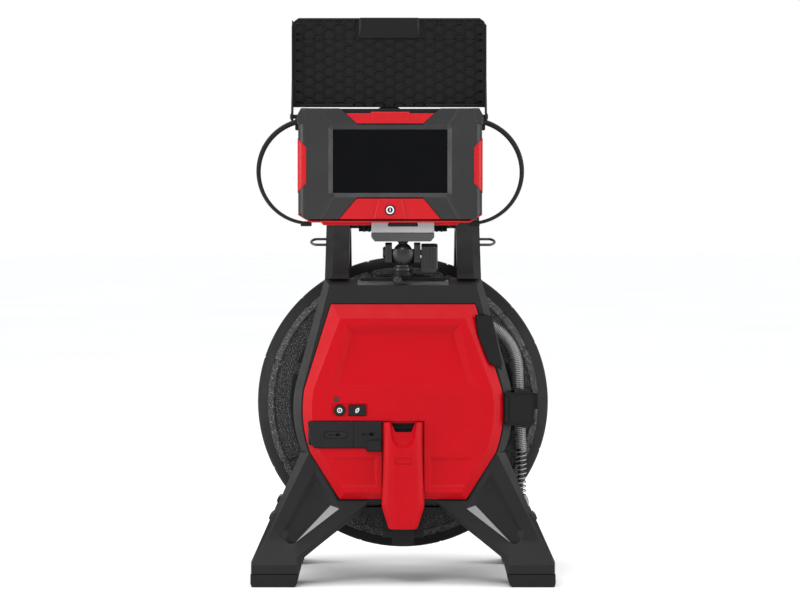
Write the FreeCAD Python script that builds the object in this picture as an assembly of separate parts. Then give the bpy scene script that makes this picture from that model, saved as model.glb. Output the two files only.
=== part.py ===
"""Pipe inspection camera: a cable drum between a front and a rear frame, a removable control hub with
its battery, a ball mount with a monitor and a folding visor, and the camera spring held by a clip.

Units are millimetres. +X is to the right seen from the front, +Y points to the back and +Z up.
The origin lies on the ground under the middle of the four feet.
"""
import FreeCAD
import Part
import math
import os

V = FreeCAD.Vector
os.makedirs("parts", exist_ok=True)

# ---- driving dimensions ----
HALF_WIDTH = 213.0        # outer edge of the feet
HALF_DEPTH = 176.0        # front of the front feet, back of the rear feet
FOOT_H = 17.6
FOOT_W = 67.5
FOOT_D = 74.0
AXLE_Z = 252.0            # drum axis above the ground
AXLE_R = 10.0
GAP = 0.3                 # clearance between bodies that move past each other

# front frame, front view
FRAME_FRONT = -146.0
FRAME_BACK = -108.0
FRAME_TOP = 430.0
POST_OUT = 110.0
POST_IN = 74.0

# drum
DRUM_R = 206.0
DRUM_FRONT = -74.0
DRUM_BACK = 78.0
DRUM_WALL = 3.5
DRUM_RIM = 16.0           # width of the bevel between the face and the tread
DRUM_MOUTH_R = 150.0      # opening in the drum's front face
CORE_R = 124.0            # inner wall that keeps the cable away from the hub
DRUM_SLOTS = (24, 41, 72, 104, 134, 162, 207, 230, 253, 285, 312, 341)

# control hub
HUB_FACE = -158.0         # the flat front field
HUB_SKIRT = -147.0        # where the cover's bevel meets its rim
HUB_BACK = -142.0
HUB_TRAVEL = 150.0

# monitor, in front of the handle
MON_X = -18.0             # the monitor sits off centre on its rail
MON_HALF = 129.0
MON_BOTTOM = 511.4
MON_TOP = 669.0
MON_FRONT = -156.0
MON_SPLIT = -132.0        # joint line between bezel and back shell
MON_BACK = -106.0
SCREEN_HALF = 80.0
SCREEN_BOTTOM = 550.5
SCREEN_TOP = 639.0

# ball mount
BALL_R = 13.5
BALL_Y = -126.0
BALL_Z = 467.0

# visor hinge
VISOR_Y = -148.0
VISOR_Z = 657.0
VISOR_HALF = 137.0
VISOR_TOP = 797.0

# camera spring
SPRING_Y = -91.0
SPRING_R = 8.8


def face_xz(points):
    """A flat face in the XZ plane at Y 0 from (x, z) points."""
    loop = [V(x, 0, z) for x, z in points]
    return Part.Face(Part.makePolygon(loop + [loop[0]]))


def prism_xz(points, y0, y1):
    """A solid whose front view is the polygon, from y0 to y1."""
    return face_xz(points).translated(V(0, y0, 0)).extrude(V(0, y1 - y0, 0))


def prism_yz(points, x0, x1):
    """A solid whose side view is the polygon of (y, z) points, from x0 to x1."""
    loop = [V(x0, y, z) for y, z in points]
    return Part.Face(Part.makePolygon(loop + [loop[0]])).extrude(V(x1 - x0, 0, 0))


def prism_xy(points, z0, z1):
    """A solid whose top view is the polygon of (x, y) points, from z0 to z1."""
    loop = [V(x, y, z0) for x, y in points]
    return Part.Face(Part.makePolygon(loop + [loop[0]])).extrude(V(0, 0, z1 - z0))


def mirrored(shape):
    return shape.mirror(V(0, 0, 0), V(1, 0, 0))


def box(x0, x1, y0, y1, z0, z1):
    return Part.makeBox(x1 - x0, y1 - y0, z1 - z0, V(x0, y0, z0))


def rod(radius, start, end):
    """A round bar from one point to the other."""
    a, b = V(*start), V(*end)
    return Part.makeCylinder(radius, (b - a).Length, a, b - a)


def tube(outer, inner, start, end):
    return rod(outer, start, end).cut(rod(inner, start, end))


def revolve_y(points, x=0.0, z=AXLE_Z):
    """A turned solid about a line along Y, from (radius, y) points."""
    loop = [V(x + r, y, z) for r, y in points]
    face = Part.Face(Part.makePolygon(loop + [loop[0]]))
    return face.revolve(V(x, 0, z), V(0, 1, 0), 360)


def rounded(shape, radius, wanted):
    """Fillets the edges for which wanted(edge) is true."""
    return shape.makeFillet(radius, [e for e in shape.Edges if wanted(e)])


def along(axis):
    """True for a straight edge along the axis, 0 for X, 1 for Y and 2 for Z."""
    def test(edge):
        if len(edge.Vertexes) != 2:
            return False
        d = edge.Vertexes[1].Point - edge.Vertexes[0].Point
        parts = [abs(d.x), abs(d.y), abs(d.z)]
        return d.Length > 1e-6 and parts[axis] > 0.999 * d.Length
    return test


def round_box(x0, x1, y0, y1, z0, z1, radius, axis=1):
    """A box with the four edges along one axis rounded."""
    return rounded(box(x0, x1, y0, y1, z0, z1), radius, along(axis))


def save(name, shape):
    """Writes one node. A list of solids becomes one compound."""
    if isinstance(shape, (list, tuple)):
        shape = Part.makeCompound([s for piece in shape for s in piece.Solids])
    solids = shape.Solids
    for s in solids:
        if not s.isValid() or s.Volume <= 0:
            print("BAD SOLID in", name, s.isValid(), round(s.Volume, 3))
    whole = solids[0] if len(solids) == 1 else Part.makeCompound(solids)
    whole.exportStep("parts/" + name + ".step")
    b = whole.BoundBox
    print(f"{name:26s} {len(solids):3d}  x {b.XMin:7.1f} {b.XMax:7.1f}  y {b.YMin:7.1f} {b.YMax:7.1f}"
          f"  z {b.ZMin:7.1f} {b.ZMax:7.1f}")


# ---- outlines seen from the front ----

def shield_face(top, upper, middle, lower, bottom):
    """A symmetric shield: straight, then an arc through middle, then straight to the bottom."""
    def half(sign):
        p = [V(sign * x, 0, z) for x, z in (top, upper, middle, lower, bottom)]
        return [Part.LineSegment(p[0], p[1]).toShape(), Part.Arc(p[1], p[2], p[3]).toShape(),
                Part.LineSegment(p[3], p[4]).toShape()]
    right, left = half(1), half(-1)
    low = Part.LineSegment(V(bottom[0], 0, bottom[1]), V(-bottom[0], 0, bottom[1])).toShape()
    high = Part.LineSegment(V(-top[0], 0, top[1]), V(top[0], 0, top[1])).toShape()
    return Part.Face(Part.Wire(right + [low] + left[::-1] + [high]))


def extruded(face, y0, y1):
    return face.translated(V(0, y0, 0)).extrude(V(0, y1 - y0, 0))


def inset(face, amount):
    """The face with its outline moved inwards, corners kept sharp."""
    return face.makeOffset2D(-amount, 2)


def bevelled(face, amount, y_wide, y_narrow):
    """A solid that narrows by amount all round between two depths."""
    wide = face.OuterWire.translated(V(0, y_wide, 0))
    narrow = inset(face, amount).OuterWire.translated(V(0, y_narrow, 0))
    return Part.makeLoft([wide, narrow], True, True)


COVER = shield_face((101, 394.5), (138.5, 275), (140.8, 240), (130, 186), (88.6, 120.5))
RING = shield_face((110, FRAME_TOP), (151, 281), (154.4, 244), (142, 181), (97, 108))
EXIT_PANEL = face_xz([(102.5, 379), (123.5, 379), (139.5, 309), (126, 309), (119, 317), (104.5, 353)])
HUB_BAY = (-64, 64, 172, 334)          # x and z limits of the hole that the hub's housing goes into


# ---- front frame ----

def front_ring():
    ring = extruded(RING, FRAME_BACK, FRAME_FRONT + 8)
    ring = ring.fuse(bevelled(RING, 5, FRAME_FRONT + 8, FRAME_FRONT))
    ring = ring.cut(extruded(inset(COVER, -1.5), FRAME_FRONT - 5, HUB_BACK + GAP))
    x0, x1, z0, z1 = HUB_BAY
    ring = ring.cut(box(x0, x1, FRAME_FRONT - 5, FRAME_BACK + 5, z0, z1))
    # between the posts the top is a shelf that slopes up to the back
    ring = ring.cut(prism_yz([(FRAME_FRONT - 5, 421), (FRAME_FRONT + 1, 421), (FRAME_FRONT + 6, 434),
                              (FRAME_BACK + 5, 434), (FRAME_BACK + 5, 450), (FRAME_FRONT - 5, 450)],
                             -POST_IN + 4, POST_IN - 4))
    ring = ring.cut(extruded(EXIT_PANEL, FRAME_FRONT - 8, HUB_BACK + GAP))
    ring = ring.cut(box(-16, 16, FRAME_FRONT - 5, -138.8, 100, 121))      # room for the latch bracket
    shelf = prism_yz([(FRAME_BACK, 408), (FRAME_BACK, 434), (-96, 434), (-96, 424)], -60, 60)
    return ring.fuse(shelf).removeSplitter()


def leg(front):
    """One leg, right-hand side. front is -1 for a front leg and 1 for a rear one, which is plainer."""
    view = [(149.7, 176.4), (212.7, 32.1), (212.7, FOOT_H), (145.2, FOOT_H), (144, 33), (139, 40),
            (92.7, 74.5), (60, 100), (60, 107.5), (97, 107.5), (142, 180.4)]
    pocket = [(124.5, 146), (143, 138), (160, 88), (158, 66), (149, 61), (90, 106)]
    side = [(108.3, 190), (146, 190), (146, 130), (160, 62), (174, 30), (174, FOOT_H),
            (104, FOOT_H), (104, 60), (108.3, 110)]
    sunk = [(y - 3.5 if y > 140 else y, z) for y, z in side]
    turned = [(front * y, z) for y, z in side]
    sunk = [(front * y, z) for y, z in sunk]
    body = prism_xz(view, -HALF_DEPTH, HALF_DEPTH).common(prism_yz(turned, 40, 230))
    tri = prism_xz(pocket, -HALF_DEPTH - 5, HALF_DEPTH + 5)
    body = body.cut(tri.cut(prism_yz(sunk, 40, 230)))
    # ribbed guard on the outer edge
    y0, y1 = sorted((front * 118, front * 150))
    for i in range(6):
        z = 46 + 8 * i
        x = 212.7 - (z - 32.1) * (63.0 / 144.3)
        body = body.fuse(box(x - 6, x + 0.8, y0, y1, z - 2, z + 2))
    return body.removeSplitter()


def foot(front):
    """A rubber foot under the right-hand leg."""
    y0, y1 = (-HALF_DEPTH, -HALF_DEPTH + FOOT_D) if front < 0 else (HALF_DEPTH - FOOT_D, HALF_DEPTH)
    pad = prism_xz([(HALF_WIDTH, FOOT_H - 0.1), (HALF_WIDTH, 5), (HALF_WIDTH - 2, 0),
                    (HALF_WIDTH - FOOT_W + 6.5, 0), (HALF_WIDTH - FOOT_W + 3, 4),
                    (HALF_WIDTH - FOOT_W, FOOT_H - 0.1)], y0, y1)
    return pad


def keel():
    """The column under the cover that the latch lever hooks."""
    column = prism_yz([(-138, 107), (-138, 60), (-132, 54), (-112, 54), (-100, 66), (-100, 107)],
                      -15.5, 15.5)
    wings = prism_yz([(-122, 107), (-122, 72), (-104, 62), (-94, 70), (-94, 107)], -29, 29)
    crossbar = box(-60, 60, -132, FRAME_BACK, 97, 107.8)
    return column.fuse(wings).fuse(crossbar).removeSplitter()


def post_arm():
    """The right-hand side of the carrying handle, over the drum from frame to frame."""
    side = [(-144, 430.2), (-138, 437), (-56, 504), (-30, 530), (38, 530), (66, 506), (132, 436),
            (132, 430.2), (96, 430.2), (38, 492), (28, 497), (-22, 497), (-34, 490), (-104, 430.2)]
    arm = prism_yz(side, POST_IN + 2, POST_OUT)

    def outer(edge):
        b = edge.BoundBox
        return b.XMin > POST_OUT - 0.1 and b.ZMax > 431 and edge.CenterOfMass.z > 440 and (
            b.ZMax > 505 or abs(edge.CenterOfMass.y) > 88)
    return arm.makeChamfer(11, [e for e in arm.Edges if outer(e)])


def rear_plate():
    plate = extruded(RING, 96, 124).fuse(bevelled(RING, 6, 124, 132))
    plate = plate.cut(box(-POST_IN + 4, POST_IN - 4, 80, 140, 414, 440))
    plate = plate.cut(prism_xz([(-78, 396), (78, 396), (104, 300), (58, 300), (40, 330), (-40, 330),
                                (-58, 300), (-104, 300)], 126, 140))
    for sign in (-1, 1):
        a, b = sorted((sign * 62, sign * 128))
        plate = plate.cut(box(a, b, 126, 140, 222, 268))
    plate = plate.fuse(rod(52, (0, 86, AXLE_Z), (0, 138, AXLE_Z)))
    plate = plate.cut(rod(AXLE_R + 0.02, (0, 80, AXLE_Z), (0, 128, AXLE_Z)))
    return plate.removeSplitter()


right_front_leg, right_rear_leg = leg(-1), leg(1)
save("front_frame", front_ring())
save("front_legs", [right_front_leg, mirrored(right_front_leg)])
save("rear_frame", rear_plate())
save("rear_legs", [right_rear_leg, mirrored(right_rear_leg)])
save("front_feet", [foot(-1), mirrored(foot(-1))])
save("rear_feet", [foot(1), mirrored(foot(1))])
save("latch_keel", keel())
arm_right = post_arm()
save("handle_arms", [arm_right, mirrored(arm_right)])
bar_half = POST_IN + 1.9
save("handle_bar", rod(12, (-bar_half, 0, 513), (bar_half, 0, 513)))
grip = tube(16.5, 12.02, (-64, 0, 513), (64, 0, 513))
save("handle_grip", grip)


# ---- drum on its axle ----

def drum_front():
    edge = DRUM_R - DRUM_RIM
    t = DRUM_WALL
    shell = revolve_y([(DRUM_MOUTH_R, DRUM_FRONT), (edge, DRUM_FRONT), (DRUM_R, DRUM_FRONT + DRUM_RIM),
                       (DRUM_R, 0), (DRUM_R - t, 0), (DRUM_R - t, DRUM_FRONT + DRUM_RIM + 1.5),
                       (edge - 1.5, DRUM_FRONT + t), (DRUM_MOUTH_R + t, DRUM_FRONT + t),
                       (DRUM_MOUTH_R + t, DRUM_FRONT + 14), (DRUM_MOUTH_R, DRUM_FRONT + 14)])
    # raised plates on the bevel and the tread, parted by radial slots
    lift = 2.4
    plates = []
    for start, end in zip(DRUM_SLOTS, DRUM_SLOTS[1:] + (DRUM_SLOTS[0] + 360,)):
        section = [(edge - 9, DRUM_FRONT + 0.5), (edge - 9, DRUM_FRONT - 1.4), (edge, DRUM_FRONT - 1.4),
                   (DRUM_R + lift, DRUM_FRONT + DRUM_RIM - 0.5), (DRUM_R + lift, -9), (DRUM_R - 1, -9),
                   (DRUM_R - 1, DRUM_FRONT + DRUM_RIM + 1), (edge - 1, DRUM_FRONT + 1.2)]
        plate = [V(r, y, 0) for r, y in section]
        face = Part.Face(Part.makePolygon(plate + [plate[0]]))
        gap = 1.1
        solid = face.revolve(V(0, 0, 0), V(0, 1, 0), end - start - 2 * gap)
        solid.rotate(V(0, 0, 0), V(0, 1, 0), -(end - gap))
        solid.translate(V(0, 0, AXLE_Z))
        plates.append(solid)
    return shell.multiFuse(plates)


def drum_rear():
    edge = DRUM_R - DRUM_RIM
    t = DRUM_WALL
    return revolve_y([(DRUM_R, 0.05), (DRUM_R, DRUM_BACK - DRUM_RIM), (edge, DRUM_BACK), (52, DRUM_BACK),
                      (52, DRUM_BACK - t), (CORE_R - 3, DRUM_BACK - t), (CORE_R - 3, -58), (CORE_R, -58),
                      (CORE_R, DRUM_BACK - t), (edge - 1.5, DRUM_BACK - t),
                      (DRUM_R - t, DRUM_BACK - DRUM_RIM - 1.5), (DRUM_R - t, 0.05)])


def ball_row(y):
    return [Part.makeSphere(2.0, V(15 * math.cos(a), y, AXLE_Z + 15 * math.sin(a)))
            for a in [2 * math.pi * i / 10 for i in range(10)]]


save("drum_front_shell", drum_front())
save("drum_rear_shell", drum_rear())
save("drum_bearing_housing", revolve_y([(20.1, 24), (26, 24), (26, 67), (58, 67), (58, 74.4), (50, 74.4),
                                        (50, 84), (20.1, 84)]))
BEARINGS = (30, 78)
outer_races = [tube(20.05, 17.1, (0, y - 5, AXLE_Z), (0, y + 5, AXLE_Z)) for y in BEARINGS]
save("bearing_outer_races", outer_races + [b for y in BEARINGS for b in ball_row(y)])
inner_races = [tube(12.9, AXLE_R + 0.02, (0, y - 5, AXLE_Z), (0, y + 5, AXLE_Z)) for y in BEARINGS]
save("bearing_inner_races", inner_races)
save("drum_axle", rod(AXLE_R, (0, 16, AXLE_Z), (0, 127.5, AXLE_Z)))
save("slip_ring_stator", rod(9, (0, 6, AXLE_Z), (0, 15.9, AXLE_Z)))
save("slip_ring_rotor", revolve_y([(9.4, 8), (22, 8), (22, 23.9), (19, 23.9), (19, 15.5), (9.4, 15.5)]))
save("push_cable_coil", revolve_y([(166, -38), (172, -44), (188, -44), (198, -36), (198, 46), (188, 54),
                                   (172, 54), (166, 48)]))


# ---- control hub ----

def hub_cover():
    body = extruded(COVER, HUB_BACK, HUB_SKIRT).fuse(bevelled(COVER, 12.5, HUB_SKIRT, HUB_FACE))
    body = body.cut(extruded(inset(COVER, 16), HUB_BACK + 1, HUB_FACE + 8))
    front = HUB_FACE - 1
    dish = prism_yz([(front, 366), (HUB_FACE, 366), (HUB_FACE + 4, 354), (HUB_FACE, 279), (front, 279)],
                    -110, 110)
    dish = dish.common(prism_xz([(-79, 367), (81, 367), (103, 278), (-101, 278)], front, HUB_BACK))
    body = body.cut(dish)
    for sign in (-1, 1):
        pocket = prism_xy([(sign * 37, front), (sign * 37, HUB_FACE + 3.2), (sign * 39, HUB_FACE + 3.6),
                           (sign * 92, HUB_FACE), (sign * 92, front)], 139, 181)
        body = body.cut(pocket)
    body = body.cut(extruded(inset(EXIT_PANEL, -0.5), front - 5, HUB_BACK + 5))
    body = body.cut(box(-31, 31, front - 1, HUB_FACE + 5.5, 110, 231))            # channel behind the lever
    body = body.cut(box(-18, 18, front, HUB_FACE + 7.2, 196, 229))
    body = body.cut(port_outline(0.4, front - 4, HUB_FACE + 6.2, 2.5))
    body = body.cut(rod(5.6, (*PORT_HINGE, 190), (*PORT_HINGE, 233)))
    for x0, x1, z0, z1 in PORT_WINDOWS:
        body = body.cut(box(x0 - 0.5, x1 + 0.5, front, HUB_FACE + 8.1, z0 - 0.5, z1 + 0.5))
    body = body.cut(round_box(-101, -47, front, HUB_FACE + 1.2, 236.6, 256.2, 1.5))
    body = body.cut(rod(BUTTON_R + GAP, (BUTTON_X, front, BUTTON_Z), (BUTTON_X, HUB_BACK, BUTTON_Z)))
    x0, x1, z0, z1 = ZERO_BUTTON
    body = body.cut(box(x0 - GAP, x1 + GAP, front, HUB_BACK, z0 - GAP, z1 + GAP))
    body = body.cut(box(LED[0] - GAP, LED[1] + GAP, front, HUB_BACK, LED[2] - GAP, LED[3] + GAP))
    return body


PORT_HINGE = (-130.8, -150.5)
PORT_WINDOWS = ((-106, -92, 204, 218), (-66, -48, 205, 217))
BUTTON_X, BUTTON_Z, BUTTON_R = -88.6, 246.3, 7.6
ZERO_BUTTON = (-75.8, -52.0, 239.0, 253.6)
LED = (-96.3, -89.9, 258.6, 264.8)


def port_outline(grow, y0, y1, swing=0.0):
    """The port flap's outline. swing is the extra room on the hinge side."""
    g = grow
    left = grow + swing
    return prism_xz([(-131 - left, 228), (-128 - left, 230.6 + g), (-29.5 + g, 230.6 + g),
                     (-29.5 + g, 189 - g), (-50 - g, 189 - g), (-52 - g, 193.6 - g),
                     (-122 - left, 193.4 - g), (-125 - left, 196)], y0, y1)


def port_flap():
    flap = port_outline(0, -161, -152.2)
    flap = flap.cut(prism_xy([(-140, -170), (-117, -170), (-119, -161), (-129.5, -154.2), (-140, -151)],
                             180, 240))
    flap = flap.cut(box(-83.4, -82.6, -170, -160, 180, 240))
    flap = flap.cut(round_box(-111.5, -85.0, -170, -159.4, 206, 217.5, 5.7))
    tab = prism_xz([(-49, 203), (-29.6, 203), (-29.6, 189.2), (-47, 189.2), (-50, 193)], -165, -160.5)
    flap = flap.fuse(tab)
    plugs = [round_box(x0, x1, -152.3, -150.4, z0, z1, 2) for x0, x1, z0, z1 in PORT_WINDOWS]
    knuckle = rod(2.2, (*PORT_HINGE, 197), (*PORT_HINGE, 226))
    web = box(-131.4, -128, -153.5, -150.5, 197, 226)
    return flap.fuse([*plugs, knuckle, web]).removeSplitter()


def hub_housing():
    x0, x1, z0, z1 = HUB_BAY
    m = 3.0
    body = round_box(x0 + m, x1 - m, -141.9, -62, z0 + m, z1 - m, 8)
    body = body.cut(box(x0 + m + 3, x1 - m - 3, -142.5, -65, z0 + m + 3, z1 - m - 3))
    for sign in (-1, 1):
        a, b = sorted((sign * 29, sign * 34))
        c, d = sorted((sign * 23.5, sign * 34))
        body = body.fuse(box(a, b, -62.1, -51.5, 196, 300)).fuse(box(c, d, -54.6, -51.5, 196, 300))
    return body.fuse(box(-28, 28, -62.1, -58, 186, 189.4)).removeSplitter()


save("hub_cover", hub_cover())
save("hub_housing", hub_housing())
board = round_box(-52, 52, -100, -98.4, 182, 324, 3)
chips = [box(-40, -10, -106, -100.1, 200, 235), box(5, 40, -104, -100.1, 260, 300),
         box(12, 36, -108, -100.1, 196, 214)]
save("hub_circuit_board", [board, *chips])
sockets = []
for x0, x1, z0, z1 in PORT_WINDOWS:
    flange = box(x0 - 3, x1 + 3, -150, -146.5, z0 - 3, z1 + 3)
    sockets.append(flange.cut(box(x0 + 3, x1 - 3, -151, -147.5, z0 + 4, z1 - 4)))
save("port_sockets", sockets)
save("port_cover", port_flap())
power = rod(BUTTON_R, (BUTTON_X, -159.2, BUTTON_Z), (BUTTON_X, -151.5, BUTTON_Z))
save("hub_power_button", rounded(power, 0.9, lambda e: e.BoundBox.YMax < -159))
zero = box(ZERO_BUTTON[0], ZERO_BUTTON[1], -159.2, -151.5, ZERO_BUTTON[2], ZERO_BUTTON[3])
save("zero_button", rounded(zero, 0.9, lambda e: e.BoundBox.YMax < -159))
save("status_light", box(LED[0], LED[1], -158.2, -150.2, LED[2], LED[3]))


# ---- latch lever ----

def latch_lever():
    front = [(-29.8, -157), (-29.8, -163), (-22, -170.5), (-9, -173.4), (0, -172.4), (9, -173.4),
             (22, -170.5), (29.8, -163), (29.8, -157)]
    body = prism_xy(front, 80, 229.5)
    body = body.common(prism_xz([(-25.6, 229.5), (25.6, 229.5), (27, 180), (29.8, 112), (20, 80.5), (0, 80),
                                 (-20, 80.5), (-29.8, 112), (-27, 180)], -180, -150))
    body = body.cut(rod(20, (0, -220, 132), (0, -139, 294)))
    body = body.cut(prism_xz([(-16.5, 231), (16.5, 231), (12, 215), (-12, 215)], -180, -150))
    body = body.cut(box(-15.8, 15.8, -166, -150, 70, 142))
    ear = [(-159, 83), (-143, 83), (-141.5, 86), (-141.5, 97), (-150, 112), (-159, 118)]
    for sign in (-1, 1):
        a, b = sorted((sign * 16, sign * 19.9))
        body = body.fuse(prism_yz(ear, a, b))
    return body.cut(rod(3.03, (-40, PIN_Y, PIN_Z), (40, PIN_Y, PIN_Z))).removeSplitter()


PIN_Y, PIN_Z = -147.5, 92.0
save("latch_lever", latch_lever())
bracket = prism_yz([(-152.4, 120.5), (-152.4, 86), (-143, 84), (-139.2, 88), (-139.2, 96.6), (-142, 96.6),
                    (-142, 120.5)], -15, 15)
save("latch_bracket", bracket.cut(rod(3.03, (-40, PIN_Y, PIN_Z), (40, PIN_Y, PIN_Z))))
save("latch_pin", rod(3, (-19.8, PIN_Y, PIN_Z), (19.8, PIN_Y, PIN_Z)))


# ---- battery on the back of the hub ----

def battery_case():
    body = round_box(-37.5, 37.5, -50, -22, 190, 307, 7)
    body = body.fuse(box(-22.6, 22.6, -56, -49.9, 190, 305)).fuse(box(-27.8, 27.8, -61.4, -55.6, 190, 305))
    for sign in (-1, 1):
        a, b = sorted((sign * 33.2, sign * 38))
        body = body.cut(box(a, b, -45.2, -30.8, 278.8, 297.2))
    return body.removeSplitter()


def battery_button(sign):
    a, b = sorted((sign * 35.4, sign * 39.0))
    key = box(a, b, -45, -31, 279, 297)
    return rounded(key, 1.0, lambda e: abs(e.CenterOfMass.x) > 38.9)


save("battery_case", battery_case())
save("battery_base", round_box(-37.5, 37.5, -21.95, -4, 190, 307, 7))
save("battery_button_right", battery_button(1))
save("battery_button_left", battery_button(-1))


# ---- camera spring, its clip and the head's dock ----

def turn(p, q, r, radius):
    """Where an arc between the runs p-q and q-r starts, its middle and where it ends."""
    a, b = (p - q).normalize(), (r - q).normalize()
    half = (a.getAngle(b)) / 2
    reach = radius / math.tan(half)
    middle = (a + b).normalize()
    return q + a * reach, q + middle * (radius / math.sin(half) - radius), q + b * reach


def hose(points, radii, radius):
    """A round bar along straight runs joined by tangent arcs."""
    pts = [V(*p) for p in points]
    edges, at = [], pts[0]
    for i, bend in enumerate(radii):
        start, middle, end = turn(pts[i], pts[i + 1], pts[i + 2], bend)
        edges += [Part.LineSegment(at, start).toShape(), Part.Arc(start, middle, end).toShape()]
        at = end
    edges.append(Part.LineSegment(at, pts[-1]).toShape())
    wire = Part.Wire(edges)
    ring = Part.Wire(Part.makeCircle(radius, pts[0], pts[1] - pts[0]))
    return wire.makePipeShell([ring], True, False)


SPRING_ROUTE = [(108, SPRING_Y, 367.5), (160.5, SPRING_Y, 353), (167.2, SPRING_Y, 187)]
SPRING_BEND = 70.0
LEAD_ROUTE = [(107.9, SPRING_Y, 367.5), (84, SPRING_Y, 374), (52, -66, 372.5), (34, -50, 376.5)]
SPRING_X = SPRING_ROUTE[-1][0]
HEAD_TOP = 120.0
spring_end = rod(SPRING_R, (SPRING_X, SPRING_Y, 186.9), (SPRING_X, SPRING_Y, HEAD_TOP))
save("cable_spring", [hose(SPRING_ROUTE, [SPRING_BEND], SPRING_R), spring_end])
save("push_cable_lead", hose(LEAD_ROUTE, [26, 20], 4.4))
head = rod(12.4, (SPRING_X, SPRING_Y, 66), (SPRING_X, SPRING_Y, 112))
head = head.fuse(Part.makeCone(9, 12.4, 7.9, V(SPRING_X, SPRING_Y, HEAD_TOP - 0.1), V(0, 0, -1)))
head = head.cut(rod(8.6, (SPRING_X, SPRING_Y, 60), (SPRING_X, SPRING_Y, 74)))
save("camera_head", head.removeSplitter())
save("head_window", rod(8.55, (SPRING_X, SPRING_Y, 68), (SPRING_X, SPRING_Y, 73.9)))
dock = round_box(150, 183, -103.9, -76, 64, 92, 6, 2)
save("head_dock", dock.cut(rod(12.6, (SPRING_X, SPRING_Y, 60), (SPRING_X, SPRING_Y, 99))))
save("cable_exit_cover", extruded(EXIT_PANEL, HUB_BACK + 0.2, -154.3))
guide = rod(11.5, (110, SPRING_Y, 367), (124, SPRING_Y, 363.2)).fuse(box(100, 126, -107.9, -99, 350, 381))
bore = rod(SPRING_R + 1.6, (96, SPRING_Y, 370.8), (134, SPRING_Y, 360.3))
save("cable_exit_guide", guide.cut(bore).removeSplitter())

CLIP = (155.8, 184.4, 221.7, 273.7)
CLIP_HINGE = (145.0, -149.4)


def clip_base():
    x0, x1, z0, z1 = CLIP
    body = box(x0 - 1, x1, -101.5, -77, z0 + 2, z1 - 2)
    body = body.cut(hose(SPRING_ROUTE, [SPRING_BEND], SPRING_R + 0.05))
    body = body.cut(box(SPRING_X - 11.4, SPRING_X + 8.2, -110, SPRING_Y, z0, z1))
    arm = box(136, x0 + 0.1, FRAME_BACK + 0.1, -96, z0 + 6, z1 - 6)
    return body.fuse(arm).removeSplitter()


def clip_door():
    x0, x1, z0, z1 = CLIP
    outline = [(x0 + 0.4, z0), (x1 - 6, z0), (x1, z0 + 6), (x1, z1 - 8), (x1 - 8, z1), (x0 + 0.4, z1)]
    block = prism_xz(outline, -151, -101.9).cut(box(x0 + 3.4, x1 - 3.4, -147.5, -101, z0 + 3.4, z1 - 3.4))
    plate = box(144, x0 + 0.6, -151, -147.3, z0 + 3, z1 - 3)
    raised = round_box(150, x1 - 3.5, -152.8, -150.9, z0 + 7, z1 - 6, 3)
    tab = box(x1 - 0.1, x1 + 6, -122, -104, 246, 268)
    knuckle = rod(3.0, (*CLIP_HINGE, z0 + 8), (*CLIP_HINGE, z1 - 8))
    return block.fuse([plate, raised, tab, knuckle]).removeSplitter()


save("cable_clip_base", clip_base())
save("cable_clip_door", clip_door())


def strap_ring(sign):
    """A fixed steel eye on the outside of the post for a carrying strap."""
    z, y = 481.5, -60.0
    x0, x1 = sign * (POST_OUT - 2), sign * 131.0
    ends = [V(x0, y - 8, z - 4), V(x1 - sign * 7, y - 8, z - 4), V(x1, y, z),
            V(x1 - sign * 7, y + 8, z + 4), V(x0, y + 8, z + 4)]
    near = Part.LineSegment(ends[0], ends[1]).toShape()
    bow = Part.Arc(ends[1], ends[2], ends[3]).toShape()
    far = Part.LineSegment(ends[3], ends[4]).toShape()
    wire = Part.Wire([near, bow, far])
    ring = Part.Wire(Part.makeCircle(1.9, ends[0], V(sign, 0, 0)))
    eye = wire.makePipeShell([ring], True, False)
    return eye.cut(box(-POST_OUT, POST_OUT, y - 20, y + 20, z - 20, z + 20))


# ---- ball mount ----

def mount_housing():
    z = BALL_Z
    body = Part.makeSphere(19, V(0, BALL_Y, z)).fuse(Part.makeCylinder(13, 22, V(0, BALL_Y, 441.4)))
    body = body.fuse(rod(12.5, (-22, BALL_Y, z), (24.5, BALL_Y, z)))
    body = body.cut(box(-30, 30, BALL_Y - 30, BALL_Y + 30, z + 5, z + 30))
    body = body.cut(Part.makeSphere(BALL_R + 0.25, V(0, BALL_Y, z)))
    return body.cut(rod(4.08, (18, BALL_Y, z), (30, BALL_Y, z)))


def clamp_lever():
    hub = rod(12.5, (25.6, BALL_Y, BALL_Z), (49, BALL_Y, BALL_Z))
    paddle = round_box(31, 48, BALL_Y - 8.5, BALL_Y + 8.5, BALL_Z - 28.5, BALL_Z, 4, 1)
    screw = rod(4, (18.5, BALL_Y, BALL_Z), (26, BALL_Y, BALL_Z))
    return hub.fuse([paddle, screw]).removeSplitter()


def cradle():
    """Holds the monitor's dovetail rail between a front and a back cheek."""
    y0, y1 = BALL_Y - 20, BALL_Y + 20
    body = box(-44, 44, y0, y1, 482.05, 511)
    body = rounded(body, 5, lambda e: along(0)(e) and e.CenterOfMass.z < 483)
    body = body.cut(rail(0.35, -50, 50, 513))
    body = body.cut(prism_xz([(-24, 507.5), (24, 507.5), (21, 496), (-21, 496)], y0 - 1, y0 + 2.6))
    return body.cut(box(-45, 45, y0 - 1, y0 + 1.2, 491.6, 492.6))


def rail(grow, x0, x1, top):
    """The dovetail under the monitor."""
    g = grow
    return prism_yz([(BALL_Y - 12 - g, 505.3 - g), (BALL_Y + 12 + g, 505.3 - g), (BALL_Y + 7.5 + g, 511.35),
                     (BALL_Y + 7.5 + g, top), (BALL_Y - 7.5 - g, top), (BALL_Y - 7.5 - g, 511.35)], x0, x1)


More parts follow.
